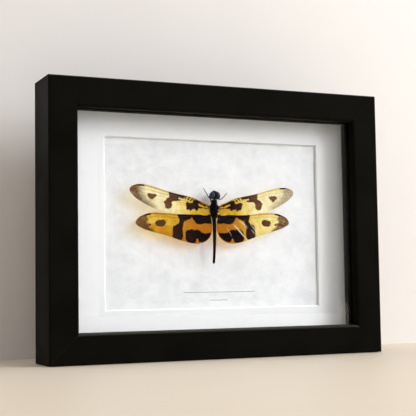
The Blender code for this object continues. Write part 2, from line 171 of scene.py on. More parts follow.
def soft_path(corners: tuple, count: int) -> np.ndarray:
    """A smooth open path through points, by Catmull-Rom, evenly spaced along its length.

    Args:
        corners: The points that the path goes through.
        count: How many points to return.

    Returns:
        The path's points.
    """
    points = np.array(corners, float)
    guard = np.vstack([2 * points[0] - points[1], points, 2 * points[-1] - points[-2]])
    t = np.linspace(0, 1, 12, endpoint=False)[None, :, None]
    p0, p1, p2, p3 = (guard[k:len(guard) - 3 + k, None] for k in range(4))
    curve = p1 + 0.5 * t * (p2 - p0 + t * (2 * p0 - 5 * p1 + 4 * p2 - p3 + t * (3 * p1 - 3 * p2 + p3 - p0)))
    return even_path(np.vstack([curve.reshape(-1, points.shape[1]), points[-1]]), count)


def even_path(points: np.ndarray, count: int) -> np.ndarray:
    """The same path with its points evenly spaced along its length.

    Args:
        points: The path's points.
        count: How many points to return.

    Returns:
        The new points.
    """
    run = np.concatenate([[0], np.cumsum(np.linalg.norm(np.diff(points, axis=0), axis=1))])
    stops = np.linspace(0, run[-1], count)
    return np.stack([np.interp(stops, run, column) for column in points.T], axis=1)


def signed_distance(points: np.ndarray, outline: np.ndarray) -> np.ndarray:
    """How far points lie from a closed outline: the least distance to its edges, negative inside.

    Args:
        points: Points in the plane.
        outline: The outline's points, in order.

    Returns:
        One distance a point.
    """
    start, end = outline, np.roll(outline, -1, 0)
    run = end - start
    reach = points[:, None] - start
    share = np.clip((reach * run).sum(-1) / (run * run).sum(-1), 0, 1)
    gap = np.linalg.norm(reach - share[..., None] * run, axis=-1).min(1)
    x, y = points[:, None, 0], points[:, None, 1]
    spans = (start[:, 1] > y) != (end[:, 1] > y)
    crossing = start[:, 0] + (y - start[:, 1]) * run[:, 0] / np.where(run[:, 1] == 0, 1e-9, run[:, 1])
    inside = (spans & (x < crossing)).sum(1) % 2 == 1
    return np.where(inside, -gap, gap)


def segment_distance(points: np.ndarray, start: tuple, end: tuple) -> np.ndarray:
    """The distance from points to a straight stretch.

    Args:
        points: Points in the plane.
        start, end: The stretch's ends.

    Returns:
        One distance a point.
    """
    run = np.subtract(end, start)
    share = np.clip((points - start) @ run / (run @ run), 0, 1)
    return np.linalg.norm(points - start - share[:, None] * run, axis=1)


def crease(points: np.ndarray, start: tuple, end: tuple, half: float, bow: float) -> np.ndarray:
    """How strongly a bowed crease shows: sin(pi t)^0.7 exp(-((n - bow sin(pi t)) / half)^2).

    Args:
        points: Points in the plane.
        start, end: The crease's ends, between which t runs from 0 to 1.
        half: Half its width.
        bow: How far it stands off the straight line, in the direction that n counts.

    Returns:
        One value from 0 to 1 a point.
    """
    run = np.subtract(end, start)
    along = (points - start) @ run / (run @ run)
    across = (points - start) @ np.array((-run[1], run[0])) / np.linalg.norm(run)
    arch = np.sin(np.pi * np.clip(along, 0, 1))
    return arch**0.7 * np.exp(-(((across - bow * arch) / half) ** 2))


def grid_faces(rows: int, columns: int, wrap: bool = False) -> np.ndarray:
    """Four-sided faces between neighbouring rows and columns of a grid of points.

    Args:
        rows: How many rows the grid has.
        columns: How many columns.
        wrap: Whether the last column joins the first.

    Returns:
        The corners' numbers, four a face.
    """
    row = np.arange(rows - 1)[:, None] * columns
    column = np.arange(columns if wrap else columns - 1)[None, :]
    beside = (column + 1) % columns
    corners = [row + column, row + beside, row + columns + beside, row + columns + column]
    return np.stack(corners, axis=-1).reshape(-1, 4)


def rounds(rings: np.ndarray, first: np.ndarray, last: np.ndarray) -> tuple[np.ndarray, list]:
    """Closed round bodies, many at once: rings of points with a pole at each end.

    Args:
        rings: Points by body, ring, place in the ring, and axis.
        first: Each body's pole before its first ring.
        last: Each body's pole after its last ring.

    Returns:
        The points, and the faces' corners in arrays of four and of three.
    """
    bodies, count, sides, _ = rings.shape
    flat = np.concatenate([rings.reshape(bodies, -1, 3), first[:, None], last[:, None]], axis=1)
    ring, beside = np.arange(sides), (np.arange(sides) + 1) % sides
    end = (count - 1) * sides
    caps = np.concatenate([
        np.stack([np.full(sides, count * sides), beside, ring], axis=1),
        np.stack([np.full(sides, count * sides + 1), end + ring, end + beside], axis=1),
    ])
    shift = (np.arange(bodies) * (count * sides + 2))[:, None, None]
    walls = (grid_faces(count, sides, wrap=True) + shift).reshape(-1, 4)
    return flat.reshape(-1, 3), [walls, (caps + shift).reshape(-1, 3)]


def tubes(
    paths: np.ndarray, radii: np.ndarray, sides: int, reference: tuple = (0, 1, 0)
) -> tuple[np.ndarray, list]:
    """Round tubes along paths, many at once.

    At a point p with tangent t, a is t crossed with the reference direction, b is a crossed
    with t, and the ring is p + r (a cos s + b sin s).

    Args:
        paths: Points by tube, place along it, and axis.
        radii: The radius at each of those points.
        sides: How many sides a tube has.
        reference: A direction that no path runs along.

    Returns:
        The points, and the faces' corners in arrays of four and of three.
    """
    tangent = unit(np.gradient(paths, axis=1))
    a = unit(np.cross(tangent, reference))
    b = np.cross(a, tangent)
    turn = 2 * np.pi * np.arange(sides) / sides
    spokes = a[:, :, None] * np.cos(turn)[:, None] + b[:, :, None] * np.sin(turn)[:, None]
    rings = paths[:, :, None] + radii[:, :, None, None] * spokes
    return rounds(rings, paths[:, 0], paths[:, -1])


def lumps(
    centres: np.ndarray, halves: np.ndarray, rows: int = 8, columns: int = 12
) -> tuple[np.ndarray, list]:
    """Ellipsoids, many at once: centre + half size times (sin p cos q, sin p sin q, cos p).

    Args:
        centres: Each one's centre.
        halves: Each one's half sizes.
        rows: Rings between the poles.
        columns: Points in a ring.

    Returns:
        The points, and the faces' corners in arrays of four and of three.
    """
    polar = np.pi * np.arange(1, rows + 1) / (rows + 1)
    turn = 2 * np.pi * np.arange(columns) / columns
    sphere = np.stack(np.broadcast_arrays(
        np.sin(polar)[:, None] * np.cos(turn),
        np.sin(polar)[:, None] * np.sin(turn),
        np.cos(polar)[:, None] + 0 * turn,
    ), axis=-1)
    rings = centres[:, None, None] + halves[:, None, None] * sphere
    pole = halves * (0, 0, 1)
    return rounds(rings, centres + pole, centres - pole)


def closed_sheet(front: np.ndarray, back: np.ndarray) -> tuple[np.ndarray, list]:
    """A thin closed sheet from the grids of its two faces, joined round the rim.

    Args:
        front: Points by row and column.
        back: The same for the other face.

    Returns:
        The points, and the faces' corners in an array of four.
    """
    rows, columns, _ = front.shape
    total = rows * columns
    number = np.arange(total).reshape(rows, columns)
    rim = np.concatenate([number[0, :-1], number[:-1, -1], number[-1, :0:-1], number[:0:-1, 0]])
    ahead = np.roll(rim, -1)
    edge = np.stack([rim, ahead, ahead + total, rim + total], axis=1)
    faces = grid_faces(rows, columns)
    points = np.concatenate([front.reshape(-1, 3), back.reshape(-1, 3)])
    return points, [faces, faces[:, ::-1] + total, edge]


@dataclass
class Skin:
    """Closed surfaces gathered for one mesh, each with its finish and its values at points."""

    points: list = field(default_factory=list)
    faces: list = field(default_factory=list)
    marks: dict = field(default_factory=dict)
    count: int = 0

    def add(self, shape: tuple[np.ndarray, list], finish: int = 0, marks: dict | None = None) -> None:
        """Add a shape.

        Args:
            shape: Its points in millimetres, and arrays of its faces' corners.
            finish: Which of the piece's finishes it takes.
            marks: Values at its points, by name.
        """
        points, groups = shape
        self.points.append(points)
        self.faces += [(group + self.count, finish) for group in groups]
        for name, values in (marks or {}).items():
            self.marks.setdefault(name, []).append((self.count, values))
        self.count += len(points)

    def mesh(self, name: str) -> bpy.types.Mesh:
        """Write the mesh, its faces turned outwards and shaded smooth.

        Args:
            name: The mesh's name.

        Returns:
            The mesh, in metres.
        """
        corners = np.concatenate([group.ravel() for group, _ in self.faces])
        sizes = np.concatenate([np.full(len(group), group.shape[1]) for group, _ in self.faces])
        finish = np.concatenate([np.full(len(group), number) for group, number in self.faces])
        mesh = bpy.data.meshes.new(name)
        mesh.vertices.add(self.count)
        mesh.vertices.foreach_set("co", (np.concatenate(self.points) * MM).ravel())
        mesh.loops.add(len(corners))
        mesh.loops.foreach_set("vertex_index", corners.astype(np.int32))
        mesh.polygons.add(len(sizes))
        starts = np.concatenate([[0], np.cumsum(sizes)[:-1]]).astype(np.int32)
        mesh.polygons.foreach_set("loop_start", starts)
        mesh.polygons.foreach_set("material_index", finish.astype(np.int32))
        mesh.update(calc_edges=True)
        for mark, parts in self.marks.items():
            values = np.zeros(self.count, np.float32)
            for start, given in parts:
                values[start:start + len(given)] = given
            mesh.attributes.new(mark, "FLOAT", "POINT").data.foreach_set("value", values)
        shell = bmesh.new()
        shell.from_mesh(mesh)
        bmesh.ops.recalc_face_normals(shell, faces=shell.faces)
        shell.to_mesh(mesh)
        shell.free()
        mesh.shade_smooth()
        mesh.set_sharp_from_angle(angle=math.radians(50))
        return mesh


def put_piece(name: str, skin: Skin, finishes: list, nodes: tuple[str, ...]) -> None:
    """Put a finished piece in the scene in place of the solids that it stands for.

    Args:
        name: The piece's name.
        skin: Its surfaces.
        finishes: Its materials, in the order that its surfaces number them.
        nodes: The solids that it stands for.
    """
    mesh = skin.mesh(name)
    for finish in finishes:
        mesh.materials.append(finish)
    piece = bpy.data.objects.new(name, mesh)
    bpy.context.scene.collection.objects.link(piece)
    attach(piece, "root")
    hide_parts(*nodes)
    LOG.info("%s: %d faces in place of %s", name, len(mesh.polygons), ", ".join(nodes))


def dress(node: str, finish: bpy.types.Material) -> None:
    """Give a solid its finish.

    Args:
        node: The solid's name.
        finish: Its material.
    """
    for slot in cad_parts[node].material_slots:
        slot.material = finish
    LOG.info("%s: %s", node, finish.name)


class Tree:
    """A node tree with short calls that add its nodes and join them."""

    def __init__(self, tree: bpy.types.NodeTree) -> None:
        """Keep the tree."""
        self.tree = tree

    def node(self, kind: str, inputs: dict | None = None, **settings) -> bpy.types.Node:
        """Add a node.

        Args:
            kind: Its type, without the words ShaderNode.
            inputs: Values or sockets for its inputs, by name or number.
            settings: Its own properties.

        Returns:
            The node.
        """
        made = self.tree.nodes.new("ShaderNode" + kind)
        for key, value in settings.items():
            setattr(made, key, value)
        for key, value in (inputs or {}).items():
            if isinstance(value, bpy.types.NodeSocket):
                self.tree.links.new(value, made.inputs[key])
            else:
                made.inputs[key].default_value = value
        return made

    def math(self, operation: str, first: object, second: object = 0.0, clamp: bool = False) -> object:
        """Add a sum of two values and give its result's socket."""
        return self.node("Math", {0: first, 1: second}, operation=operation, use_clamp=clamp).outputs[0]

    def span(
        self, value: object, low: float, high: float, to_low: float = 0.0, to_high: float = 1.0
    ) -> object:
        """Map a value smoothly from one range to another and give the socket."""
        inputs = {"Value": value, "From Min": low, "From Max": high, "To Min": to_low, "To Max": to_high}
        return self.node("MapRange", inputs, interpolation_type="SMOOTHSTEP").outputs["Result"]

    def blend(self, share: object, first: object, second: object) -> object:
        """Mix two colours and give the socket."""
        return self.node("Mix", {0: share, 6: first, 7: second}, data_type="RGBA").outputs[2]

    def ramp(self, share: object, stops: tuple) -> object:
        """Add a colour ramp.

        Args:
            share: Where along the ramp to read.
            stops: Pairs of a position and a colour.

        Returns:
            The colour's socket.
        """
        made = self.node("ValToRGB", {"Fac": share})
        elements = made.color_ramp.elements
        for extra in range(len(stops) - len(elements)):
            elements.new((extra + 1) / len(stops))
        for element, (position, colour) in zip(elements, stops):
            element.position = position
            element.color = colour
        return made.outputs["Color"]

    def where(self) -> object:
        """The socket of the object's own coordinates, in metres."""
        return self.node("TexCoord").outputs["Object"]

    def mark(self, name: str) -> object:
        """The socket of a value that the mesh carries at its points."""
        return self.node("Attribute", attribute_name=name, attribute_type="GEOMETRY").outputs["Fac"]

    def group(self, group: bpy.types.NodeTree, inputs: dict) -> bpy.types.Node:
        """Place a node group with its own values."""
        return self.node("Group", inputs, node_tree=group)


def new_group(name: str, inputs: dict, outputs: tuple[str, ...]) -> tuple[Tree, object, object]:
    """Start a shader node group.

    Args:
        name: The group's name.
        inputs: Each input's name, with its default, or None for a vector.
        outputs: The names of the values that it puts out.

    Returns:
        The tree, its input node and its output node.
    """
    group = bpy.data.node_groups.new(name, "ShaderNodeTree")
    for key, default in inputs.items():
        kind = "NodeSocketVector" if default is None else "NodeSocketFloat"
        socket = group.interface.new_socket(name=key, in_out="INPUT", socket_type=kind)
        if default is not None:
            socket.default_value = default
    for key in outputs:
        group.interface.new_socket(name=key, in_out="OUTPUT", socket_type="NodeSocketFloat")
    return Tree(group), group.nodes.new("NodeGroupInput"), group.nodes.new("NodeGroupOutput")


def stretched_ridges(tree: Tree, given: bpy.types.Node, where: object, width: float, twist: float) -> object:
    """Thin ridges, where a noise that is stretched along X comes near its middle value.

    Args:
        tree: The group's tree.
        given: The group's input node, with Scale and Stretch.
        where: The socket of the place at which the noise is read.
        width: How far from its middle value a ridge reaches.
        twist: How far the noise is twisted.

    Returns:
        The socket of a value that is 1 along a ridge and 0 beside it.
    """
    squeeze = tree.node("CombineXYZ", {0: given.outputs["Stretch"], 1: 1.0, 2: 1.0})
    long = tree.node("VectorMath", {0: where, 1: squeeze.outputs[0]}, operation="MULTIPLY")
    noise = tree.node("TexNoise", {
        "Vector": long.outputs[0], "Scale": given.outputs["Scale"], "Detail": 2.0, "Distortion": twist,
    })
    off = tree.math("ABSOLUTE", tree.math("SUBTRACT", noise.outputs["Fac"], 0.5))
    return tree.span(off, 0.0, width, 1.0, 0.0)


class Effects:
    """The node groups that several finishes share."""

    def __init__(self) -> None:
        """Build each group once."""
        self.mottle = self.build_mottle()
        self.fibres = self.build_fibres()
        self.scuffs = self.build_scuffs()

    @staticmethod
    def build_mottle() -> bpy.types.NodeTree:
        """Cloudy variation: noise spread from Low to High.

        Returns:
            The group, with the output Value.
        """
        inputs = {"Vector": None, "Scale": 300.0, "Detail": 4.0, "Low": 0.0, "High": 1.0}
        tree, given, out = new_group("cloudy_mottle", inputs, ("Value",))
        cloud = tree.node("TexNoise", {
            "Vector": given.outputs["Vector"], "Scale": given.outputs["Scale"],
            "Detail": given.outputs["Detail"],
        })
        value = tree.node("MapRange", {
            "Value": cloud.outputs["Fac"], "From Min": 0.32, "From Max": 0.68,
            "To Min": given.outputs["Low"], "To Max": given.outputs["High"],
        })
        tree.tree.links.new(value.outputs["Result"], out.inputs["Value"])
        return tree.tree

    @staticmethod
    def build_fibres() -> bpy.types.NodeTree:
        """Matted fibres: thin ridges of three stretched and turned noises, the highest kept.

        Returns:
            The group, with the output Height.
        """
        inputs = {"Vector": None, "Scale": 400.0, "Stretch": 0.12}
        tree, given, out = new_group("matted_fibres", inputs, ("Height",))
        height = 0.0
        for turn in (0.35, 1.5, 2.6):
            lean = tree.node("VectorRotate", {
                "Vector": given.outputs["Vector"], "Axis": (0.0, 1.0, 0.0), "Angle": turn,
            })
            height = tree.math("MAXIMUM", height, stretched_ridges(tree, given, lean.outputs[0], 0.035, 2.2))
        tree.tree.links.new(height, out.inputs["Height"])
        return tree.tree

    @staticmethod
    def build_scuffs() -> bpy.types.NodeTree:
        """Fine rubbed lines: a strongly stretched noise, kept only near its middle value.

        Returns:
            The group, with the output Mask.
        """
        inputs = {"Vector": None, "Scale": 900.0, "Stretch": 0.03, "Amount": 0.5}
        tree, given, out = new_group("fine_scuffs", inputs, ("Mask",))
        thin = stretched_ridges(tree, given, given.outputs["Vector"], 0.02, 0.0)
        tree.tree.links.new(tree.math("MULTIPLY", thin, given.outputs["Amount"]), out.inputs["Mask"])
        return tree.tree


def start_finish(name: str, **sockets) -> tuple[Tree, bpy.types.Material, bpy.types.Node]:
    """Start a material with one surface shader.

    Args:
        name: The material's name.
        sockets: Constant values of the shader, with underscores for the spaces in names.

    Returns:
        The material's tree, the material and its shader.
    """
    material = bpy.data.materials.new(name)
    material.use_nodes = True
    shader = material.node_tree.nodes["Principled BSDF"]
    for key, value in sockets.items():
        shader.inputs[key.replace("_", " ")].default_value = value
    return Tree(material.node_tree), material, shader


def feed(tree: Tree, shader: bpy.types.Node, **sockets) -> None:
    """Join sockets to a shader's inputs, with underscores for the spaces in names."""
    for key, socket in sockets.items():
        tree.tree.links.new(socket, shader.inputs[key.replace("_", " ")])


def relief(tree: Tree, height: object, distance: float, strength: float = 1.0) -> object:
    """Turn a height from 0 to 1 into a surface normal.

    Args:
        tree: The material's tree.
        height: The socket of the height.
        distance: How high 1 stands, in millimetres.
        strength: How much of it shows.

    Returns:
        The socket of the normal.
    """
    inputs = {"Height": height, "Distance": distance * MM, "Strength": strength}
    return tree.node("Bump", inputs).outputs["Normal"]


def mix_clear(tree: Tree, shader: bpy.types.Node, share: object, tint: object) -> None:
    """Let a share of the light straight through a surface.

    Args:
        tree: The material's tree.
        shader: Its surface shader.
        share: The socket of the share.
        tint: What colours the light that passes, as a colour or a socket.
    """
    clear = tree.node("BsdfTransparent", {"Color": tint})
    mixed = tree.node("MixShader", {0: share, 1: shader.outputs[0], 2: clear.outputs[0]})
    tree.tree.links.new(mixed.outputs[0], tree.tree.nodes["Material Output"].inputs["Surface"])


@dataclass(frozen=True)
class Lacquer:
    """Satin black lacquer over close-grained wood, a little rubbed."""

    dark: tuple = (0.0050, 0.0046, 0.0033, 1.0)
    rubbed: tuple = (0.0075, 0.0070, 0.0052, 1.0)
    # Paler colour where the surface faces up: dust and a painted highlight
    dust_and_lit_top: tuple = (0.052, 0.049, 0.038, 1.0)
    gloss: float = 0.01
    cloud_scale: float = 60.0
    peel_scale: float = 1600.0
    scuff_scale: float = 1500.0
    roughness: tuple = (0.34, 0.44)
    dust_and_light_slopes: tuple = (0.15, 0.75)
    peel_height: float = 0.006

    def build(self, effects: Effects) -> bpy.types.Material:
        """Build the material. Where the surface faces up, between two slopes, it turns paler:
        partly dust and partly a painted highlight of the light from above.

        Args:
            effects: The shared node groups.

        Returns:
            The material.
        """
        tree, material, shader = start_finish("satin_black_lacquer", Specular_IOR_Level=self.gloss)
        along = tree.where()
        cloud = tree.group(effects.mottle, {"Vector": along, "Scale": self.cloud_scale})
        peel = tree.group(effects.mottle, {"Vector": along, "Scale": self.peel_scale, "Detail": 2.0})
        scuff = tree.group(effects.scuffs, {
            "Vector": along, "Scale": self.scuff_scale, "Stretch": 0.05, "Amount": 0.06,
        })
        colour = tree.blend(tree.math("MULTIPLY", cloud.outputs[0], 0.8), self.dark, self.rubbed)
        # Faces that look up turn paler: partly dust, partly a painted highlight of the light from above
        facing = tree.node("SeparateXYZ", {0: tree.node("NewGeometry").outputs["Normal"]})
        upward = tree.span(facing.outputs["Z"], *self.dust_and_light_slopes)
        dust_and_light = tree.math("MULTIPLY", upward, tree.span(peel.outputs[0], 0.0, 1.0, 0.75, 1.0))
        colour = tree.blend(dust_and_light, colour, self.dust_and_lit_top)
        rough = tree.math("ADD", tree.span(cloud.outputs[0], 0.0, 1.0, *self.roughness), scuff.outputs[0])
        grain = tree.math("ADD", peel.outputs[0], tree.math("MULTIPLY", scuff.outputs[0], 1.2))
        normal = relief(tree, grain, self.peel_height)
        feed(tree, shader, Base_Color=colour, Roughness=rough, Normal=normal)
        return material


@dataclass(frozen=True)
class ClearGlass:
    """Clear picture glass with a low-glare face."""

    tint: tuple = (0.99, 0.992, 0.993, 1.0)
    shadow_tint: tuple = (0.988, 0.99, 0.992, 1.0)
    index: float = 1.5
    gloss: float = 0.08

    def build(self) -> bpy.types.Material:
        """Build the material. It mirrors less than plain glass and lets the light through.

        Returns:
            The material.
        """
        tree, material, shader = start_finish(
            "clear_glass", Base_Color=self.tint, Roughness=0.0, IOR=self.index,
            Transmission_Weight=1.0, Specular_IOR_Level=self.gloss,
        )
        mix_clear(tree, shader, tree.node("LightPath").outputs["Is Shadow Ray"], self.shadow_tint)
        return material


@dataclass(frozen=True)
class Board:
    """Paper, card and fibreboard: matted fibres in two tones."""

    name: str
    tone: tuple
    fleck: tuple
    fleck_share: float = 0.5
    scale: float = 700.0
    stretch: float = 0.12
    depth: float = 0.02
    roughness: float = 0.85
    cloud: float = 0.3
    gloss: float = 0.2

    def build(self, effects: Effects) -> bpy.types.Material:
        """Build the material.

        Args:
            effects: The shared node groups.

        Returns:
            The material.
        """
        tree, material, shader = start_finish(self.name, Specular_IOR_Level=self.gloss)
        where = tree.where()
        fibres = tree.group(effects.fibres, {"Vector": where, "Scale": self.scale, "Stretch": self.stretch})
        cloud = tree.group(effects.mottle, {"Vector": where, "Scale": self.scale * 0.3, "High": self.cloud})
        flecks = tree.math("MULTIPLY", fibres.outputs[0], self.fleck_share)
        colour = tree.blend(tree.math("ADD", flecks, cloud.outputs[0], True), self.tone, self.fleck)
        rough = tree.span(cloud.outputs[0], 0.0, 1.0, self.roughness, self.roughness - 0.15)
        normal = relief(tree, fibres.outputs[0], self.depth)
        feed(tree, shader, Base_Color=colour, Roughness=rough, Normal=normal)
        return material


@dataclass(frozen=True)
class BackingPaper:
    """Pale handmade paper with matted fibres, and two plain fine rules under the specimen."""

    pale: tuple = srgb(246, 246, 245)
    shade: tuple = srgb(226, 227, 228)
    ink: tuple = srgb(120, 120, 122)
    rules: tuple = ((2.5, 28.4, 17.3), (2.0, 24.9, 4.2))
    rule_half: float = 0.13

    def rule(
        self, tree: Tree, across: object, up: object, middle: float, height: float, half: float
    ) -> object:
        """A mask of one straight rule.

        Args:
            tree: The material's tree.
            across, up: The sockets of X and Z, in metres.
            middle: Its middle across.
            height: Its height.
            half: Half its length.

        Returns:
            The socket of the mask.
        """
        off = tree.math("ABSOLUTE", tree.math("SUBTRACT", across, middle * MM))
        away = tree.math("ABSOLUTE", tree.math("SUBTRACT", up, height * MM))
        ends = tree.span(off, (half - 0.3) * MM, half * MM, 1.0, 0.0)
        line = tree.span(away, 0.5 * self.rule_half * MM, self.rule_half * MM, 1.0, 0.0)
        return tree.math("MULTIPLY", ends, line)

    def build(self, effects: Effects) -> bpy.types.Material:
        """Build the material.

        Args:
            effects: The shared node groups.

        Returns:
            The material.
        """
        tree, material, shader = start_finish("handmade_paper", Specular_IOR_Level=0.2)
        where = tree.where()
        fibres = tree.group(effects.fibres, {"Vector": where, "Scale": 160.0, "Stretch": 0.16})
        fine = tree.group(effects.fibres, {"Vector": where, "Scale": 520.0, "Stretch": 0.1})
        cloud = tree.group(effects.mottle, {"Vector": where, "Scale": 210.0, "Detail": 5.0})
        wide = tree.group(effects.mottle, {"Vector": where, "Scale": 70.0, "Detail": 3.0})
        small = tree.math("MULTIPLY", cloud.outputs[0], 0.55)
        tone = tree.math("ADD", small, tree.math("MULTIPLY", wide.outputs[0], 0.35))
        tone = tree.math("SUBTRACT", tone, tree.math("MULTIPLY", fibres.outputs[0], 0.25), True)
        colour = tree.blend(tone, self.pale, self.shade)
        axes = tree.node("SeparateXYZ", {0: where})
        marks = [self.rule(tree, axes.outputs["X"], axes.outputs["Z"], *rule) for rule in self.rules]
        broken = tree.span(fine.outputs[0], 0.0, 1.0, 1.0, 0.75)
        inked = tree.math("MULTIPLY", tree.math("MAXIMUM", *marks), broken)
        height = tree.math("ADD", fibres.outputs[0], tree.math("MULTIPLY", fine.outputs[0], 0.5))
        feed(
            tree, shader,
            Base_Color=tree.blend(inked, colour, self.ink),
            Roughness=tree.span(cloud.outputs[0], 0.0, 1.0, 0.95, 0.8),
            Normal=relief(tree, height, 0.02),
        )
        return material


@dataclass(frozen=True)
class Plated:
    """Plated or bare steel, a little tarnished and scuffed."""

    name: str
    bright: tuple
    dull: tuple
    roughness: float = 0.32

    def build(self, effects: Effects) -> bpy.types.Material:
        """Build the material.

        Args:
            effects: The shared node groups.

        Returns:
            The material.
        """
        tree, material, shader = start_finish(self.name, Metallic=1.0)
        where = tree.where()
        cloud = tree.group(effects.mottle, {"Vector": where, "Scale": 500.0})
        scuff = tree.group(effects.scuffs, {"Vector": where, "Scale": 2500.0, "Stretch": 0.05, "Amount": 1.0})
        worn = tree.math("MAXIMUM", cloud.outputs[0], tree.math("MULTIPLY", scuff.outputs[0], 0.7), True)
        rough = tree.span(worn, 0.0, 1.0, self.roughness, self.roughness + 0.22)
        normal = relief(tree, scuff.outputs[0], 0.004, 0.6)
        colour = tree.blend(worn, self.bright, self.dull)
        feed(tree, shader, Base_Color=colour, Roughness=rough, Normal=normal)
        return material


@dataclass(frozen=True)
class Cuticle:
    """Glossy black insect cuticle with a cold sheen and finely pitted skin."""

    name: str = "black_cuticle"
    dark: tuple = srgb(6, 5, 6)
    lit: tuple = srgb(24, 20, 22)
    pits: float = 9000.0
    pit_depth: float = 0.008
    roughness: float = 0.2
    gloss: float = 0.05
    sheen: tuple = (0.75, 0.85, 1.0, 1.0)

    def build(self, effects: Effects) -> bpy.types.Material:
        """Build the material.

        Args:
            effects: The shared node groups.

        Returns:
            The material.
        """
        tree, material, shader = start_finish(
            self.name, Specular_IOR_Level=self.gloss, Specular_Tint=self.sheen
        )
        where = tree.where()
        cloud = tree.group(effects.mottle, {"Vector": where, "Scale": 900.0})
        cells = tree.node("TexVoronoi", {"Vector": where, "Scale": self.pits}, feature="F1")
        rough = tree.span(cloud.outputs[0], 0.0, 1.0, self.roughness, self.roughness + 0.2)
        normal = relief(tree, cells.outputs["Distance"], self.pit_depth)
        colour = tree.blend(cloud.outputs[0], self.dark, self.lit)
        feed(tree, shader, Base_Color=colour, Roughness=rough, Normal=normal)
        return material


@dataclass(frozen=True)
class Membrane:
    """Wing film: cream to amber, nearly black patches, smoky tip, clearest where it is palest."""

    amber: tuple = (
        (0.0, srgb(247, 240, 218)), (0.14, srgb(245, 236, 184)), (0.3, srgb(239, 220, 132)),
        (0.6, srgb(214, 168, 42)), (0.82, srgb(188, 124, 24)), (1.0, srgb(178, 104, 14)),
    )
    dark: tuple = ((0.0, srgb(20, 12, 14)), (0.5, srgb(64, 38, 25)), (1.0, srgb(114, 74, 46)))
    smoke: tuple = srgb(104, 68, 38)
    # A painted highlight along the folds
    fold_highlight: tuple = srgb(255, 248, 226)
    glow: tuple = (
        (0.0, (1.0, 0.97, 0.82, 1.0)), (0.3, (1.0, 0.94, 0.66, 1.0)), (1.0, (1.0, 0.76, 0.36, 1.0)),
    )
    patch_glow: tuple = (0.8, 0.65, 0.42, 1.0)
    smoke_glow: tuple = (0.92, 0.83, 0.64, 1.0)
    vein_light: tuple = srgb(206, 158, 70)
    vein_shade: tuple = srgb(158, 110, 48)
    vein_dark: tuple = srgb(24, 13, 12)
    vein_glow: tuple = (0.86, 0.68, 0.36, 1.0)
    gloss: float = 0.03
    cell_scale: float = 1500.0

    def masks(self, tree: Tree, effects: Effects) -> tuple[object, object, object, object]:
        """Read the wing's marks and rough up their edges.

        Args:
            tree: The material's tree.
            effects: The shared node groups.

        Returns:
            The sockets of the colour, of the dark patches, of the smoke and of the folds, where a pale
            highlight is painted.
        """
        where = tree.where()
        ragged = tree.group(effects.mottle, {"Vector": where, "Scale": 1300.0, "Low": -0.08, "High": 0.08})
        cells = tree.node("TexVoronoi", {"Vector": where, "Scale": self.cell_scale}, feature="F1")
        step = tree.node("SeparateXYZ", {0: cells.outputs["Color"]}).outputs["X"]
        edge = tree.math("ADD", ragged.outputs[0], tree.span(step, 0.0, 1.0, -0.16, 0.12))
        cloud = tree.group(effects.mottle, {"Vector": where, "Scale": 420.0, "Low": -0.08, "High": 0.08})
        patch = tree.span(tree.math("ADD", tree.mark("patch"), edge), 0.1, -0.1)
        patchy = tree.math("ADD", cloud.outputs[0], tree.span(step, 0.0, 1.0, -0.08, 0.08))
        smoke = tree.math("ADD", tree.mark("smoke"), patchy, True)
        base = tree.ramp(tree.math("ADD", tree.mark("amber"), cloud.outputs[0]), self.amber)
        dark = tree.ramp(tree.math("ADD", tree.mark("tone"), cloud.outputs[0]), self.dark)
        # Pale lines along the folds: a painted highlight
        fold = tree.mark("fold")
        colour = tree.blend(patch, tree.blend(smoke, base, self.smoke), dark)
        return tree.blend(fold, colour, self.fold_highlight), patch, smoke, fold

    def build(self, effects: Effects) -> bpy.types.Material:
        """Build the material. Light that goes through to the paper is tinted by the film.

        Args:
            effects: The shared node groups.

        Returns:
            The material.
        """
        tree, material, shader = start_finish("wing_film", Specular_IOR_Level=self.gloss)
        colour, patch, smoke, fold = self.masks(tree, effects)
        amber = tree.span(tree.mark("amber"), 0.05, 0.6, 0.82, 0.98)
        veil = tree.math("MAXIMUM", amber, patch)
        veil = tree.math("MAXIMUM", veil, tree.span(smoke, 0.0, 1.0, 0.7, 0.9), True)
        inputs = {"Vector": tree.where(), "Scale": self.cell_scale}
        cells = tree.node("TexVoronoi", inputs, feature="DISTANCE_TO_EDGE")
        rough = tree.span(cells.outputs["Distance"], 0.0, 0.3, 0.3, 0.2)
        rough = tree.math("SUBTRACT", rough, tree.math("MULTIPLY", fold, 0.08))
        normal = relief(tree, tree.span(cells.outputs["Distance"], 0.0, 0.12), 0.012, 0.5)
        feed(tree, shader, Base_Color=colour, Roughness=rough, Normal=normal, Alpha=veil)
        glow = tree.ramp(tree.mark("amber"), self.glow)
        glow = tree.blend(patch, tree.blend(smoke, glow, self.smoke_glow), self.patch_glow)
        self.let_through(tree, shader, glow)
        return material

    @staticmethod
    def let_through(tree: Tree, shader: bpy.types.Node, glow: object) -> None:
        """Let the light that goes on to the paper pass with a tint.

        Args:
            tree: The material's tree.
            shader: Its surface shader.
            glow: The tint, as a colour or a socket.
        """
        path = tree.node("LightPath")
        passing = tree.math("MAXIMUM", path.outputs["Is Shadow Ray"], path.outputs["Is Diffuse Ray"])
        mix_clear(tree, shader, passing, glow)

    def build_vein(self, effects: Effects) -> bpy.types.Material:
        """Build the material of the veins, which darkens in the patches.

        Args:
            effects: The shared node groups.

        Returns:
            The material.
        """
        tree, material, shader = start_finish("wing_vein", Specular_IOR_Level=self.gloss)
        cloud = tree.group(effects.mottle, {"Vector": tree.where(), "Scale": 700.0})
        patch = tree.span(tree.mark("patch"), 0.3, -0.1)
        warm = tree.blend(cloud.outputs[0], self.vein_light, self.vein_shade)
        feed(
            tree, shader,
            Base_Color=tree.blend(patch, warm, self.vein_dark),
            Roughness=tree.span(cloud.outputs[0], 0.0, 1.0, 0.35, 0.5),
        )
        self.let_through(tree, shader, self.vein_glow)
        return material


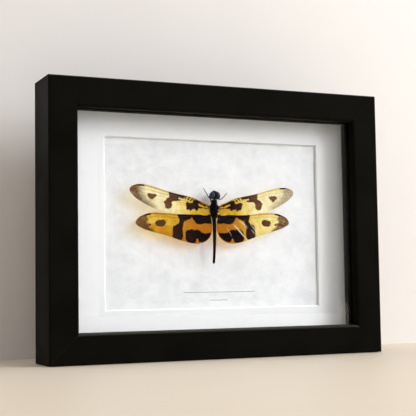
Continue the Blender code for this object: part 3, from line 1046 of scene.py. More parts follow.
@dataclass
class Moulding:
    """The four black rails: a rebated section with soft arrises, mitred at the corners."""

    face: float = 12.5
    lip: float = 4.0
    reach: float = 5.5
    front_arris: float = 0.7
    inner_arris: float = 1.2
    lip_arris: float = 0.3
    back_arris: float = 0.5
    arris_steps: int = 7
    joint: float = 0.03
    chamfer: float = 0.07
    support: float = 0.15

    def corners(self) -> tuple:
        """The section's corners as inward distance, depth and rounding radius."""
        wall = self.face - self.reach
        return (
            (0.0, 0.0, self.front_arris),
            (self.face, 0.0, self.inner_arris),
            (self.face, self.lip, self.lip_arris),
            (wall, self.lip, 0.05),
            (wall, FRAME_DEPTH, self.back_arris),
            (0.0, FRAME_DEPTH, self.back_arris),
        )

    def section(self) -> tuple[np.ndarray, np.ndarray]:
        """The section's outline and its outward directions.

        At each corner the outline follows a quarter circle, with a point close to each of its
        ends that keeps the flats flat when they are shaded.

        Returns:
            The outline's points and one outward direction a point.
        """
        corners = self.corners()
        points, outward = [], []
        for index, (inward, depth, radius) in enumerate(corners):
            corner = np.array((inward, depth))
            back = unit(np.subtract(corners[index - 1][:2], corner))
            ahead = unit(np.subtract(corners[(index + 1) % len(corners)][:2], corner))
            centre = corner + radius * (back + ahead)
            turn = np.linspace(0, np.pi / 2, self.arris_steps)[:, None]
            spokes = -(ahead * np.cos(turn) + back * np.sin(turn))
            arc = centre + radius * spokes
            hollow = (back[0] * ahead[1] - back[1] * ahead[0]) > 0
            out = -spokes if hollow else spokes
            points += [arc[0] + back * self.support, *arc, arc[-1] + ahead * self.support]
            outward += [out[0], *out, out[-1]]
        return np.array(points), np.array(outward)

    def rail(self, rail: Rail) -> tuple[np.ndarray, list]:
        """One rail: the section carried along it, its ends cut to the mitre and eased.

        The mitre is along = half length - inward distance.

        Args:
            rail: Which rail.

        Returns:
            The points, and the faces' corners.
        """
        outline, outward = self.section()
        facing = np.array(rail.value, float)
        across = np.array((-facing[1], facing[0]))
        size = np.array((FRAME_WIDTH, FRAME_HEIGHT)) / 2
        reach, half = abs(facing @ size), abs(across @ size)
        rings = []
        for end in (-1, 1):
            rows = ((self.joint, self.chamfer), (self.joint + self.chamfer, 0.0), (3.0, 0.0))
            for back, shrink in rows[::-end]:
                inward, depth = (outline - shrink * outward).T
                along = end * (half - inward - back)
                flat = (reach - inward)[:, None] * facing + along[:, None] * across
                rings.append(place(flat[:, 0], depth, flat[:, 1] + FRAME_HEIGHT / 2))
        rings = np.array(rings)
        count, sides, _ = rings.shape
        ends = np.array([np.arange(sides), (count - 1) * sides + np.arange(sides)[::-1]])
        return rings.reshape(-1, 3), [grid_faces(count, sides, wrap=True), ends]

    def build(self, lacquer: bpy.types.Material) -> None:
        """Make the four rails.

        Args:
            lacquer: Their finish.
        """
        for rail in Rail:
            skin = Skin()
            skin.add(self.rail(rail))
            name = rail.name.lower()
            put_piece(f"moulding_{name}", skin, [lacquer], (f"rail_{name}",))


@dataclass
class SpecimenPaper:
    """The paper behind the window: a thin sheet whose front is softly uneven."""

    front: float = 12.9
    back: float = 13.4
    width: float = 141.4
    height: float = 103.4
    pitch: float = 0.65
    relief: float = 0.07

    def build(self, finish: bpy.types.Material) -> None:
        """Make the sheet: its front is three sizes of smooth noise on a plane.

        Args:
            finish: Its material.
        """
        across = np.linspace(-self.width / 2, self.width / 2, int(self.width / self.pitch))
        up = np.linspace(-self.height / 2, self.height / 2, int(self.height / self.pitch))
        x, z = np.meshgrid(across, up)
        uneven = sum(
            share * smooth_noise(x + 200, z + 200, cell, seed)
            for seed, (cell, share) in enumerate(((7.0, 0.45), (3.2, 0.35), (1.5, 0.2)))
        )
        rim = smooth_step(self.width / 2 - abs(x), 0, 2) * smooth_step(self.height / 2 - abs(z), 0, 2)
        front = place(x, self.front + self.relief * (0.6 - uneven * rim), z + FRAME_HEIGHT / 2)
        skin = Skin()
        skin.add(closed_sheet(front, place(x, self.back + 0 * x, z + FRAME_HEIGHT / 2)))
        put_piece("handmade_paper_sheet", skin, [finish], ("specimen_paper",))


@dataclass(frozen=True)
class WingPlan:
    """What one kind of wing looks like, in distance out from the wings' line and height.

    Attributes:
        outline: Points round the wing from the root along the leading edge to the tip and back.
        tip: The number of the outline's point at the tip.
        line_x: Where the line of the pair runs.
        rise: How far the pair is raised over these heights.
        depth: How far behind the frame's front face it lies.
        lines: How many lengthwise fields its veins make at the root.
        tone: Distances out, each with how brown the dark patches are there.
        patches: Outlines of the dark patches.
        stripes: Dark stripes as two ends and half a width.
        stigma: Where the dark cell on the leading edge starts and ends, and its height.
        smoke: The outline of the smoky tip, and how softly it fades.
    """

    outline: tuple
    tip: int
    line_x: float
    rise: float
    depth: float
    lines: int
    tone: tuple
    patches: tuple
    stripes: tuple
    stigma: tuple
    smoke: tuple
    smoke_fade: float


FOREWING = WingPlan(
    outline=(
        (2.2, 65.9), (5.5, 67.6), (10.5, 69.7), (17.0, 71.05), (22.5, 72.3), (28.0, 73.9),
        (33.5, 75.0), (36.9, 74.7), (39.2, 72.9), (37.9, 70.6), (34.0, 67.8), (29.0, 65.35),
        (22.5, 63.3), (15.0, 62.5), (7.5, 62.5), (2.4, 62.8),
    ),
    tip=8,
    line_x=-1.7,
    rise=-0.3,
    depth=8.3,
    lines=17,
    tone=((7, 0.0), (16, 0.55), (23, 0.95), (29, 1.0)),
    patches=(
        (
            (31.2, 70.6), (30.6, 71.2), (29.2, 71.2), (27.9, 71.0), (27.0, 70.6), (27.4, 69.8),
            (28.2, 69.4), (28.6, 68.7), (29.6, 68.7), (30.3, 69.4), (30.9, 69.9),
        ),
        (
            (21.0, 72.4), (18.2, 71.9), (16.0, 71.4), (14.3, 70.7), (13.8, 69.9), (14.9, 69.4),
            (17.0, 69.4), (15.9, 68.6), (17.6, 68.2), (19.8, 67.8), (20.1, 66.6), (20.3, 65.5),
            (20.7, 65.0), (22.9, 65.1), (23.2, 66.6), (23.7, 67.5), (23.1, 68.2), (22.0, 69.3),
            (21.4, 69.6), (21.0, 70.3), (21.2, 70.9),
        ),
        (
            (13.5, 67.6), (10.9, 67.4), (10.1, 67.5), (10.0, 68.5), (9.3, 68.8), (7.2, 68.2),
            (5.9, 67.4), (3.9, 66.5), (4.1, 66.0), (5.8, 66.7), (7.7, 66.9), (6.0, 65.7),
            (5.7, 65.3), (6.9, 65.2), (7.7, 64.8), (8.45, 64.1), (9.1, 64.7), (10.3, 64.8),
            (11.4, 64.0), (11.9, 64.6), (12.8, 64.5), (13.3, 65.8),
        ),
    ),
    stripes=(
        ((2.2, 65.8), (4.2, 66.35), 0.2), ((2.7, 65.0), (6.0, 65.6), 0.16),
        ((10.3, 69.2), (11.1, 68.5), 0.28), ((11.75, 69.7), (12.45, 69.0), 0.28),
        ((13.15, 70.1), (13.7, 69.5), 0.28),
    ),
    stigma=(32.4, 35.4, 0.6),
    smoke=(
        (34.2, 76.5), (33.8, 73.5), (33.4, 71.0), (32.0, 69.3), (29.8, 67.5), (28.2, 65.7),
        (27.8, 62.5), (41.0, 64.0), (42.0, 76.0),
    ),
    smoke_fade=2.4,
)

HINDWING = WingPlan(
    outline=(
        (1.8, 61.6), (3.4, 62.05), (10.0, 62.15), (17.1, 62.2), (24.0, 62.8), (29.2, 63.0),
        (33.2, 62.1), (36.0, 60.4), (36.7, 58.6), (34.6, 56.9), (29.5, 55.1), (22.3, 53.1),
        (15.5, 50.8), (11.0, 49.65), (6.8, 49.6), (3.2, 51.4), (1.55, 54.1), (1.3, 58.3),
    ),
    tip=8,
    line_x=-1.4,
    rise=0.2,
    depth=8.9,
    lines=20,
    tone=((7, 0.0), (14, 0.1), (19, 0.36), (26, 0.75)),
    patches=(
        ((27.7, 58.9), (26.7, 59.6), (23.5, 59.7), (23.1, 58.3), (24.0, 57.3), (26.0, 57.1), (27.3, 57.5)),
        (
            (17.1, 62.5), (16.8, 60.0), (16.9, 58.8), (17.8, 58.0), (19.3, 57.3), (19.7, 56.3),
            (19.85, 54.2), (19.9, 52.5), (16.2, 51.2), (15.2, 52.9), (15.2, 54.5), (15.3, 56.2),
            (14.8, 57.8), (14.5, 59.0), (12.8, 59.8), (11.5, 60.4), (10.9, 61.1), (10.8, 62.5),
        ),
        (
            (10.9, 62.5), (10.9, 61.7), (10.2, 60.3), (9.4, 59.0), (8.3, 58.1), (6.5, 57.95),
            (4.6, 58.2), (1.2, 58.35), (0.8, 59.6), (0.8, 62.5),
        ),
        (
            (14.0, 53.5), (13.8, 54.7), (12.8, 55.4), (11.9, 55.7), (10.5, 55.6), (10.1, 55.2),
            (9.2, 55.5), (7.3, 55.1), (6.3, 54.3), (5.2, 53.95), (3.1, 54.0), (2.0, 54.1),
            (2.2, 52.9), (3.2, 51.6), (4.9, 50.5), (6.9, 50.0), (7.7, 50.3), (8.4, 51.5),
            (8.9, 51.5), (9.4, 50.1), (11.1, 49.8), (13.0, 50.2), (14.0, 51.1),
        ),
    ),
    stripes=(((2.0, 62.0), (17.0, 62.3), 0.35), ((30.0, 57.8), (30.2, 57.9), 0.4)),
    stigma=(29.9, 32.7, 0.7),
    smoke=(
        (32.2, 64.5), (31.6, 61.6), (31.0, 60.0), (31.7, 59.1), (30.2, 58.2), (30.6, 57.0),
        (28.8, 55.8), (28.2, 53.5), (38.5, 53.5), (39.5, 64.5),
    ),
    smoke_fade=0.7,
)

# How amber the film is at distances out from the wings' line, from 0 for cream to 1 for orange
FOREWING_AMBER = ((2, 0.66), (9, 0.6), (13, 0.45), (17, 0.26), (22, 0.14), (38, 0.1))
LEFT_HINDWING_AMBER = ((2, 0.98), (10, 0.9), (14, 0.78), (18, 0.62), (26, 0.6), (31, 0.5), (36, 0.3))
RIGHT_HINDWING_AMBER = ((2, 0.98), (10, 0.88), (14, 0.7), (18, 0.42), (24, 0.3), (36, 0.16))

# Folds that cross the right hindwing, raised in the film and painted with a pale highlight: two
# ends in distance out and height, half a width, how far they bow and how strongly they show
RIGHT_HINDWING_FOLDS = (
    ((5.7, 56.5), (8.3, 52.3), 0.12, 0.15, 0.45), ((8.9, 58.0), (15.4, 51.1), 0.2, 0.12, 1.0),
    ((9.7, 57.9), (13.4, 54.0), 0.1, 0.1, 0.5), ((11.9, 59.5), (16.0, 55.9), 0.16, 0.24, 0.8),
    ((12.6, 59.5), (16.4, 56.4), 0.09, 0.2, 0.45), ((17.2, 58.1), (21.7, 52.8), 0.13, 0.21, 0.75),
    ((18.0, 58.2), (22.1, 53.7), 0.09, 0.2, 0.4), ((17.7, 55.7), (19.8, 53.3), 0.12, 0.1, 0.6),
)


@dataclass
class Wing:
    """One wing: a thin pleated film between its edges, with a net of veins standing on it.

    A place on the wing is (u, v): u runs from the root to the tip and v from the leading edge
    to the trailing one. A line of constant field q lies at v = q / (1 - spread u^curl), so the
    fields fan out and run off the trailing edge on their way to the tip.
    """

    name: str
    plan: WingPlan
    side: Side
    amber: tuple
    smokiness: float = 1.0
    droop: float = 0.0
    rear_amber: float = 0.0
    folds: tuple = ()
    film: float = 0.06
    rows: int = 200
    columns: int = 90
    spread: float = 0.74
    curl: float = 2.6
    pleat: float = 0.15
    ripple: float = 0.22
    cell: float = 0.95
    tip_end: float = 0.9994
    pleat_reach: float = 2.6
    fold_height: float = 0.12

    def __post_init__(self) -> None:
        """Lay out the leading and trailing edges, evenly along their lengths."""
        steps = 10
        loop = soft_loop(self.plan.outline, steps)
        tip, last = self.plan.tip * steps, (len(self.plan.outline) - 1) * steps
        self.leading = even_path(loop[:tip + 1], 400)
        self.trailing = even_path(loop[tip:last + 1][::-1], 400)
        self.length = float(np.linalg.norm(np.diff(self.leading, axis=0), axis=1).sum())

    def flat(self, u: np.ndarray, v: np.ndarray) -> tuple[np.ndarray, np.ndarray, np.ndarray]:
        """Where (u, v) lies on the flat wing: straight between the two edges.

        Args:
            u: Shares from the root to the tip.
            v: Shares from the leading to the trailing edge.

        Returns:
            The distance out, the height, and the distance behind the leading edge.
        """
        stations = np.linspace(0, 1, len(self.leading))
        lead = [np.interp(u, stations, column) for column in self.leading.T]
        trail = [np.interp(u, stations, column) for column in self.trailing.T]
        out, up = (a + v * (b - a) for a, b in zip(lead, trail))
        return out, up, v * np.hypot(trail[0] - lead[0], trail[1] - lead[1])

    def surface(self, u: np.ndarray, v: np.ndarray, lift: object = 0.0) -> np.ndarray:
        """Points on the wing: pleats that fade away from the leading edge, and a soft ripple.

        Args:
            u, v: Places on the wing.
            lift: How far the points stand in front of the film's middle.

        Returns:
            Points in millimetres.
        """
        u, v = np.broadcast_arrays(u, v)
        out, up, behind = self.flat(u, v)
        field_line = v * (1 - self.spread * u**self.curl)
        pleat = np.cos(np.pi * self.plan.lines * field_line) * np.exp(-behind / self.pleat_reach)
        ripple = v * np.sin(9 * u + 1.3) + 0.5 * v * np.sin(23 * u + 0.4)
        depth = self.plan.depth - self.pleat * pleat + self.ripple * ripple - lift
        spots = np.stack([out.ravel(), up.ravel()], axis=1)
        for *shape, strength in self.folds:
            depth = depth - self.fold_height * strength * crease(spots, *shape).reshape(out.shape)
        root_out, root_up = self.plan.outline[0]
        turn = -self.droop
        out, up = out - root_out, up - root_up
        swung_out = root_out + out * math.cos(turn) - up * math.sin(turn)
        swung_up = root_up + out * math.sin(turn) + up * math.cos(turn)
        x = self.plan.line_x + self.side.value * swung_out
        return place(x, depth, swung_up + self.plan.rise)

    def marks(self, u: np.ndarray, v: np.ndarray) -> dict[str, np.ndarray]:
        """The wing's colours at places on it, as values for its finish.

        Args:
            u, v: Places on the wing.

        Returns:
            The distance to the nearest dark patch, the patches' tone, the smoke, the amber and
            the folds, where a pale highlight is painted.
        """
        u, v = np.broadcast_arrays(u, v)
        out, up, behind = (part.ravel() for part in self.flat(u, v))
        spots = np.stack([out, up], axis=1)
        patches = [signed_distance(spots, soft_loop(outline, 4)) for outline in self.plan.patches]
        patch = np.min(patches, axis=0)
        for start, end, half in self.plan.stripes:
            patch = np.minimum(patch, segment_distance(spots, start, end) - half)
        fade = self.plan.smoke_fade
        within = -signed_distance(spots, soft_loop(self.plan.smoke, 4))
        smoke = smooth_step(within, -fade, fade) * self.smokiness
        amber = np.interp(out, *zip(*self.amber))
        lead = np.exp(-((behind / 1.4) ** 2)) * smooth_step(out, 20, 25) * smooth_step(-out, -36, -32)
        amber = amber + 0.14 * lead + self.rear_amber * smooth_step(v.ravel(), 0.35, 1.0)
        # How strongly each fold shows, which also sets where its highlight is painted
        fold = np.zeros_like(out)
        for *shape, strength in self.folds:
            fold = np.maximum(fold, strength * crease(spots, *shape))
        tone = np.interp(out, *zip(*self.plan.tone))
        return {"patch": patch, "tone": tone, "smoke": smoke, "amber": amber, "fold": fold}

    def line(self, u: np.ndarray, number: np.ndarray) -> np.ndarray:
        """How far behind the leading edge a numbered line of veins runs, as v.

        A line behind the front third of the wing zigzags once a cell, and the next one half a
        cell later, so the cells between them have six sides.

        Args:
            u: Shares from the root to the tip.
            number: The line's number.

        Returns:
            Shares from the leading to the trailing edge.
        """
        share = number / self.plan.lines
        beat = np.cos(2 * np.pi * (u * self.length / self.cell + number / 2))
        share = share + 0.2 / self.plan.lines * beat * smooth_step(share, 0.25, 0.5)
        return share / (1 - self.spread * u**self.curl)

    def veins(self, skin: Skin) -> None:
        """Add the lengthwise veins and the cross-veins between them.

        Args:
            skin: The wing's surfaces.
        """
        number = np.arange(1, self.plan.lines)[:, None]
        reach = np.minimum(((1 - number / self.plan.lines) / self.spread) ** (1 / self.curl), 0.985)
        u = np.linspace(0, 1, 240)[None, :] * reach
        v = np.clip(self.line(u, number), 0, 1)
        thick = np.where(number <= 3, 0.075, 0.045) * (1 - 0.45 * u)
        self.add_tubes(skin, u, v, thick, 4)
        beats = np.arange(0, int(self.length / self.cell) + 1)[None, :]
        number = np.arange(0, self.plan.lines)[:, None]
        u = (beats + 0.5 * (number % 2)) * self.cell / self.length
        start, end = self.line(u, number), np.minimum(self.line(u, number + 1), 1.0)
        kept = (u > 0.03) & (u < 0.97) & (end - start > 0.01)
        share = np.linspace(0, 1, 3)
        u = np.repeat(u[kept][:, None], 3, axis=1)
        v = start[kept][:, None] + share * (end - start)[kept][:, None]
        self.add_tubes(skin, u, v, np.full(u.shape, 0.03), 3)

    def add_tubes(self, skin: Skin, u: np.ndarray, v: np.ndarray, radii: np.ndarray, sides: int) -> None:
        """Add veins along lines on the wing.

        Args:
            skin: The wing's surfaces.
            u, v: Places along each line, a row a line.
            radii: The radius at each place.
            sides: How many sides a vein has.
        """
        marks = self.marks(u, v)
        poles = {
            name: np.concatenate([
                np.repeat(values.reshape(u.shape), sides, axis=1),
                values.reshape(u.shape)[:, :1], values.reshape(u.shape)[:, -1:],
            ], axis=1).ravel()
            for name, values in marks.items()
        }
        skin.add(tubes(self.surface(u, v), radii, sides), 1, poles)

    def edges(self, skin: Skin) -> None:
        """Add the stout leading edge with its node, the fine trailing edge and the root.

        Args:
            skin: The wing's surfaces.
        """
        u = np.linspace(0, self.tip_end, 200)[None, :]
        stout = 0.15 - 0.09 * u + 0.05 * np.exp(-((u - 0.5) / 0.012) ** 2)
        self.add_tubes(skin, u, 0 * u, stout, 6)
        self.add_tubes(skin, u, 0 * u + 1, 0.05 - 0.015 * u, 4)
        v = np.linspace(0, 1, 30)[None, :]
        self.add_tubes(skin, 0 * v, v, 0.09 + 0 * v, 5)

    def stigma(self, skin: Skin) -> None:
        """Add the thick dark cell on the leading edge.

        Args:
            skin: The wing's surfaces.
        """
        start, end, height = self.plan.stigma
        stations = np.linspace(0, 1, len(self.leading))
        rise = self.leading[:, 0]
        first, last = (np.interp(out, rise[:rise.argmax()], stations[:rise.argmax()]) for out in (start, end))
        u = np.linspace(first, last, 16)[:, None]
        chord = self.flat(u, np.ones_like(u))[2]
        v = np.linspace(0, 1, 5)[None, :] * height / chord
        swell = 0.05 + 0.05 * np.sin(np.pi * np.linspace(0, 1, 16))[:, None] * np.ones((1, 5))
        shape = closed_sheet(self.surface(u, v, swell), self.surface(u, v, -swell))
        count = len(shape[0])
        skin.add(shape, 1, {"patch": np.full(count, -1.0), "tone": np.full(count, 0.2)})

    def build(self, film: bpy.types.Material, vein: bpy.types.Material, node: str) -> None:
        """Make the wing.

        Args:
            film: The film's finish.
            vein: The veins' finish.
            node: The solid that it stands for.
        """
        skin = Skin()
        u = np.linspace(0, self.tip_end, self.rows)[:, None]
        v = np.linspace(0, 1, self.columns)[None, :]
        shape = closed_sheet(self.surface(u, v, self.film / 2), self.surface(u, v, -self.film / 2))
        skin.add(shape, 0, {name: np.tile(values, 2) for name, values in self.marks(u, v).items()})
        self.veins(skin)
        self.edges(skin)
        self.stigma(skin)
        put_piece(self.name, skin, [film, vein], (node,))


# Legs as distance out from the body, depth and height. The others are folded under the thorax
LEFT_FORELEG = (
    (0.5, 10.2, 67.4), (0.9, 10.8, 69.3), (2.0, 10.5, 70.25), (2.9, 10.3, 71.7),
    (3.8, 10.1, 72.8), (4.5, 10.0, 73.9),
)
RIGHT_FORELEG = (
    (0.5, 10.2, 67.4), (1.6, 10.8, 69.2), (3.0, 10.8, 69.3), (4.3, 10.7, 69.3),
    (5.5, 10.4, 70.4), (6.3, 10.2, 71.3), (6.9, 10.0, 72.0),
)
MIDDLE_LEG = ((0.5, 10.6, 65.6), (1.3, 11.5, 66.4), (1.4, 11.9, 64.6), (0.8, 12.1, 62.9))
HIND_LEG = ((0.4, 10.5, 63.4), (1.1, 11.4, 64.0), (1.0, 11.9, 61.8), (0.4, 12.1, 60.2))


@dataclass
class Body:
    """The dragonfly's head, thorax with its legs, and abdomen.

    Attributes:
        bulges: The brow, mouth and other lumps of the head: place from its middle, half sizes.
        ocelli: The three small eyes, from the head's middle.
        thorax_knots: Height, half width, half depth and middle depth down the thorax.
        sutures: Height, slant and share sunk of each groove round the thorax.
        hinges: Distance out, depth, height and half width of each wing's hinge plates.
    """

    head_x: float = -1.05
    head_depth: float = 9.0
    head_up: float = 70.8
    eye_half: tuple = (1.26, 1.6, 1.72)
    eye_out: float = 1.24
    eye_lean: float = 0.22
    bulges: tuple = (
        (0.0, 0.35, -0.25, 1.35, 1.25, 1.4), (0.0, -0.25, 1.3, 0.82, 0.8, 0.62),
        (0.0, -1.15, 0.75, 0.42, 0.4, 0.38), (0.0, 0.75, 1.4, 0.8, 0.8, 0.8),
        (0.0, 1.35, 0.65, 0.75, 0.55, 0.55), (0.0, -1.0, -0.75, 0.45, 0.5, 0.4),
    )
    ocelli: tuple = ((-0.22, -1.5, 0.85), (0.22, -1.5, 0.85), (0.0, -1.42, 1.1))
    thorax_x: float = -1.42
    thorax_knots: tuple = (
        (69.1, 0.45, 0.5, 9.0), (68.7, 0.95, 1.0, 9.0), (68.0, 1.28, 1.35, 8.9),
        (67.3, 1.35, 1.5, 9.0), (66.8, 1.5, 1.75, 9.1), (66.1, 1.85, 2.0, 9.2),
        (65.2, 1.92, 2.1, 9.2), (64.2, 1.8, 2.1, 9.25), (63.1, 1.7, 1.95, 9.25),
        (62.2, 1.5, 1.65, 9.15), (61.4, 1.2, 1.25, 9.05), (60.7, 0.95, 0.95, 9.0),
    )
    sutures: tuple = ((67.2, 0.35, 0.09), (65.8, 0.6, 0.05), (64.5, 0.8, 0.05), (62.95, 0.4, 0.06))
    hinges: tuple = (
        (1.75, 8.35, 65.65, 0.75), (1.8, 8.45, 64.85, 0.62), (1.6, 8.4, 63.6, 0.6),
        (1.3, 8.7, 62.1, 0.65), (1.1, 8.8, 61.3, 0.5),
    )
    bristles: int = 90
    abdomen_top: float = 61.05
    abdomen_length: float = 20.25
    abdomen_depth: float = 9.0
    segments: int = 10

    def head(self, cuticle: bpy.types.Material, eye: bpy.types.Material) -> None:
        """Make the head: two great eyes that meet on top, the swollen brow, mouth and feelers.

        Args:
            cuticle: The finish of the skin.
            eye: The finish of the eyes.
        """
        skin = Skin()
        middle = np.array((self.head_x, self.head_depth - FRAME_DEPTH / 2, self.head_up))
        for side in Side:
            points, faces = lumps(
                (middle + (side.value * self.eye_out, 0, 0))[None], np.array([self.eye_half]), 30, 44
            )
            points[:, 0] -= side.value * self.eye_lean * (points[:, 2] - self.head_up)
            skin.add((points, faces), 1)
        bulges = np.array(self.bulges)
        skin.add(lumps(middle + bulges[:, :3], bulges[:, 3:], 14, 22))
        skin.add(lumps(middle + np.array(self.ocelli), np.full((3, 3), 0.1), 6, 10), 1)
        feelers = np.array([
            soft_path(((s * 0.3, -0.9, 1.25), (s * 0.55, -1.15, 1.7), (s * 0.8, -1.2, 2.3)), 10)
            for s in (-1, 1)
        ])
        taper = np.linspace(0.055, 0.015, 10)[None, :].repeat(2, axis=0)
        skin.add(tubes(middle + feelers, taper, 6))
        put_piece("dragonfly_head", skin, [cuticle, eye], ("head",))

    def thorax_rings(self) -> tuple[np.ndarray, np.ndarray, np.ndarray]:
        """The thorax as rings down its length, on a smooth path through its measured widths.

        Each suture is a narrow groove 1 - sunk exp(-(g / 0.14)^2), where g is the height over a
        line that slants round the body.

        Returns:
            The rings and their two poles, as one body.
        """
        up, wide, deep, depth = (column[:, None] for column in soft_path(self.thorax_knots, 90).T)
        turn = np.linspace(0, 2 * np.pi, 56, endpoint=False)[None, :]
        radius = 1 + 0.05 * np.exp(-((turn - 1.5 * np.pi) / 0.12) ** 2) + 0 * up
        for centre, slant, sunk in self.sutures:
            groove = up - centre - slant * np.sin(turn)
            radius = radius * (1 - sunk * np.exp(-(groove / 0.14) ** 2))
        rings = place(
            self.thorax_x + wide * radius * np.cos(turn), depth + deep * radius * np.sin(turn), up + 0 * turn
        )[None]
        ends = place(np.full(2, self.thorax_x), depth[[0, -1], 0], up[[0, -1], 0] + (0.12, -0.08))
        return rings, ends[:1], ends[1:]

    def leg(self, skin: Skin, route: tuple, side: Side, stout: float, spines: int) -> None:
        """Add one leg: a tapering tube that swells at its joints, with two rows of spines.

        Args:
            skin: The thorax's surfaces.
            route: Its joints as distance out from the body, depth and height.
            side: Which side it is on.
            stout: Its radius at the body.
            spines: How many spines each row has.
        """
        joints = [(BODY_X + side.value * out, depth - FRAME_DEPTH / 2, up) for out, depth, up in route]
        path = soft_path(joints, 48)
        share = np.linspace(0, 1, 48)
        radius = stout * (1 - 0.6 * share)
        for joint in np.linspace(0, 1, len(route))[1:-1]:
            radius = radius * (1 + 0.3 * np.exp(-((share - joint) / 0.02) ** 2))
        skin.add(tubes(path[None], radius[None], 8, (0.2, 1, 0.1)))
        spots = np.linspace(16, 44, spines).astype(int)
        ahead = unit(np.gradient(path, axis=0))[spots]
        beside = unit(np.cross(ahead, (0.2, 1, 0.1)))
        for sign in (-1, 1):
            lean = unit(sign * beside + 0.9 * ahead)
            steps = np.linspace(0, 0.55, 4)[None, :, None]
            taper = np.linspace(0.03, 0.006, 4)[None, :].repeat(spines, axis=0)
            skin.add(tubes(path[spots][:, None] + steps * lean[:, None], taper, 3, (0.2, 1, 0.1)))

    def thorax(self, cuticle: bpy.types.Material, collar: bpy.types.Material) -> None:
        """Make the thorax with its collar, wing hinges, bristles and six legs.

        Args:
            cuticle: Its finish.
            collar: The finish of the collar behind the head, paler than the rest: a painted highlight.
        """
        skin = Skin()
        skin.add(rounds(*self.thorax_rings()))
        hinges = np.array([
            (s * out, depth, up, half, 0.35, 0.42)
            for s in (-1, 1)
            for out, depth, up, half in self.hinges
        ])
        centres = place(self.thorax_x + hinges[:, 0], hinges[:, 1], hinges[:, 2])
        skin.add(lumps(centres, hinges[:, 3:], 9, 14))
        skin.add(lumps(place(self.thorax_x, 8.9, 68.45)[None], np.array([(1.3, 1.4, 0.5)]), 16, 30), 1)
        rng = np.random.default_rng(4)
        turn = rng.uniform(1.1 * np.pi, 1.9 * np.pi, self.bristles)
        height = rng.uniform(62.0, 68.9, self.bristles)
        knots = np.array(self.thorax_knots)[::-1].T
        wide, deep, depth = (np.interp(height, knots[0], column) for column in knots[1:])
        foot = place(self.thorax_x + wide * np.cos(turn), depth + deep * np.sin(turn), height)
        out = unit(np.stack([np.cos(turn), np.sin(turn), 0.4 + 0 * turn], axis=1))
        steps = np.linspace(-0.05, 0.4, 3)[None, :, None]
        taper = np.linspace(0.018, 0.006, 3)[None, :].repeat(self.bristles, axis=0)
        skin.add(tubes(foot[:, None] + steps * out[:, None], taper, 3, (0, 0, 1)))
        for side, fore in ((Side.LEFT, LEFT_FORELEG), (Side.RIGHT, RIGHT_FORELEG)):
            self.leg(skin, fore, side, 0.26, 9)
            self.leg(skin, MIDDLE_LEG, side, 0.2, 7)
            self.leg(skin, HIND_LEG, side, 0.2, 7)
        put_piece("dragonfly_thorax", skin, [cuticle, collar], ("thorax",))

    def abdomen(self, cuticle: bpy.types.Material) -> None:
        """Make the abdomen: rings down a bowed line, with grooves between segments.

        At share s of the length the radius is 0.54 + 0.36 exp(-(s / 0.6)^2) + 0.15
        exp(-(s / 0.04)^2), and the line stands 0.82 s - 1.3 s^2 off the body's. The radius dips
        at each joint and flares a little before it, and a fine keel runs down the front.

        Args:
            cuticle: Its finish.
        """
        share = np.linspace(0.003, 0.996, 240)
        radius = 0.54 + 0.36 * np.exp(-(share / 0.6) ** 2) + 0.15 * np.exp(-(share / 0.04) ** 2)
        within = share * self.segments % 1
        radius = radius * (1 + 0.05 * within**3 - 0.1 * np.exp(-((within - 0.03) / 0.04) ** 2))
        radius = radius * np.minimum(1, np.sqrt((1 - share) / 0.03)) * np.minimum(1, np.sqrt(share / 0.012))
        turn = np.linspace(0, 2 * np.pi, 28, endpoint=False)[None, :]
        keel = 1 + 0.08 * np.exp(-((turn - 1.5 * np.pi) / 0.2) ** 2)
        x = BODY_X + 0.82 * share - 1.3 * share**2
        up = self.abdomen_top - share * self.abdomen_length
        rings = place(
            x[:, None] + radius[:, None] * np.cos(turn),
            self.abdomen_depth + radius[:, None] * keel * np.sin(turn),
            up[:, None] + 0 * turn,
        )[None]
        axis = place(x, np.full(240, self.abdomen_depth), up)
        skin = Skin()
        skin.add(rounds(rings, axis[:1], axis[-1:]))
        tip = axis[-1]
        cerci = np.array([
            tip + np.array([(s * 0.14, 0, 0.3), (s * 0.17, -0.02, -0.05), (s * 0.1, 0, -0.35)])
            for s in (-1, 1)
        ])
        skin.add(tubes(cerci, np.array([[0.11, 0.1, 0.03]] * 2), 6))
        put_piece("dragonfly_abdomen", skin, [cuticle], ("abdomen",))


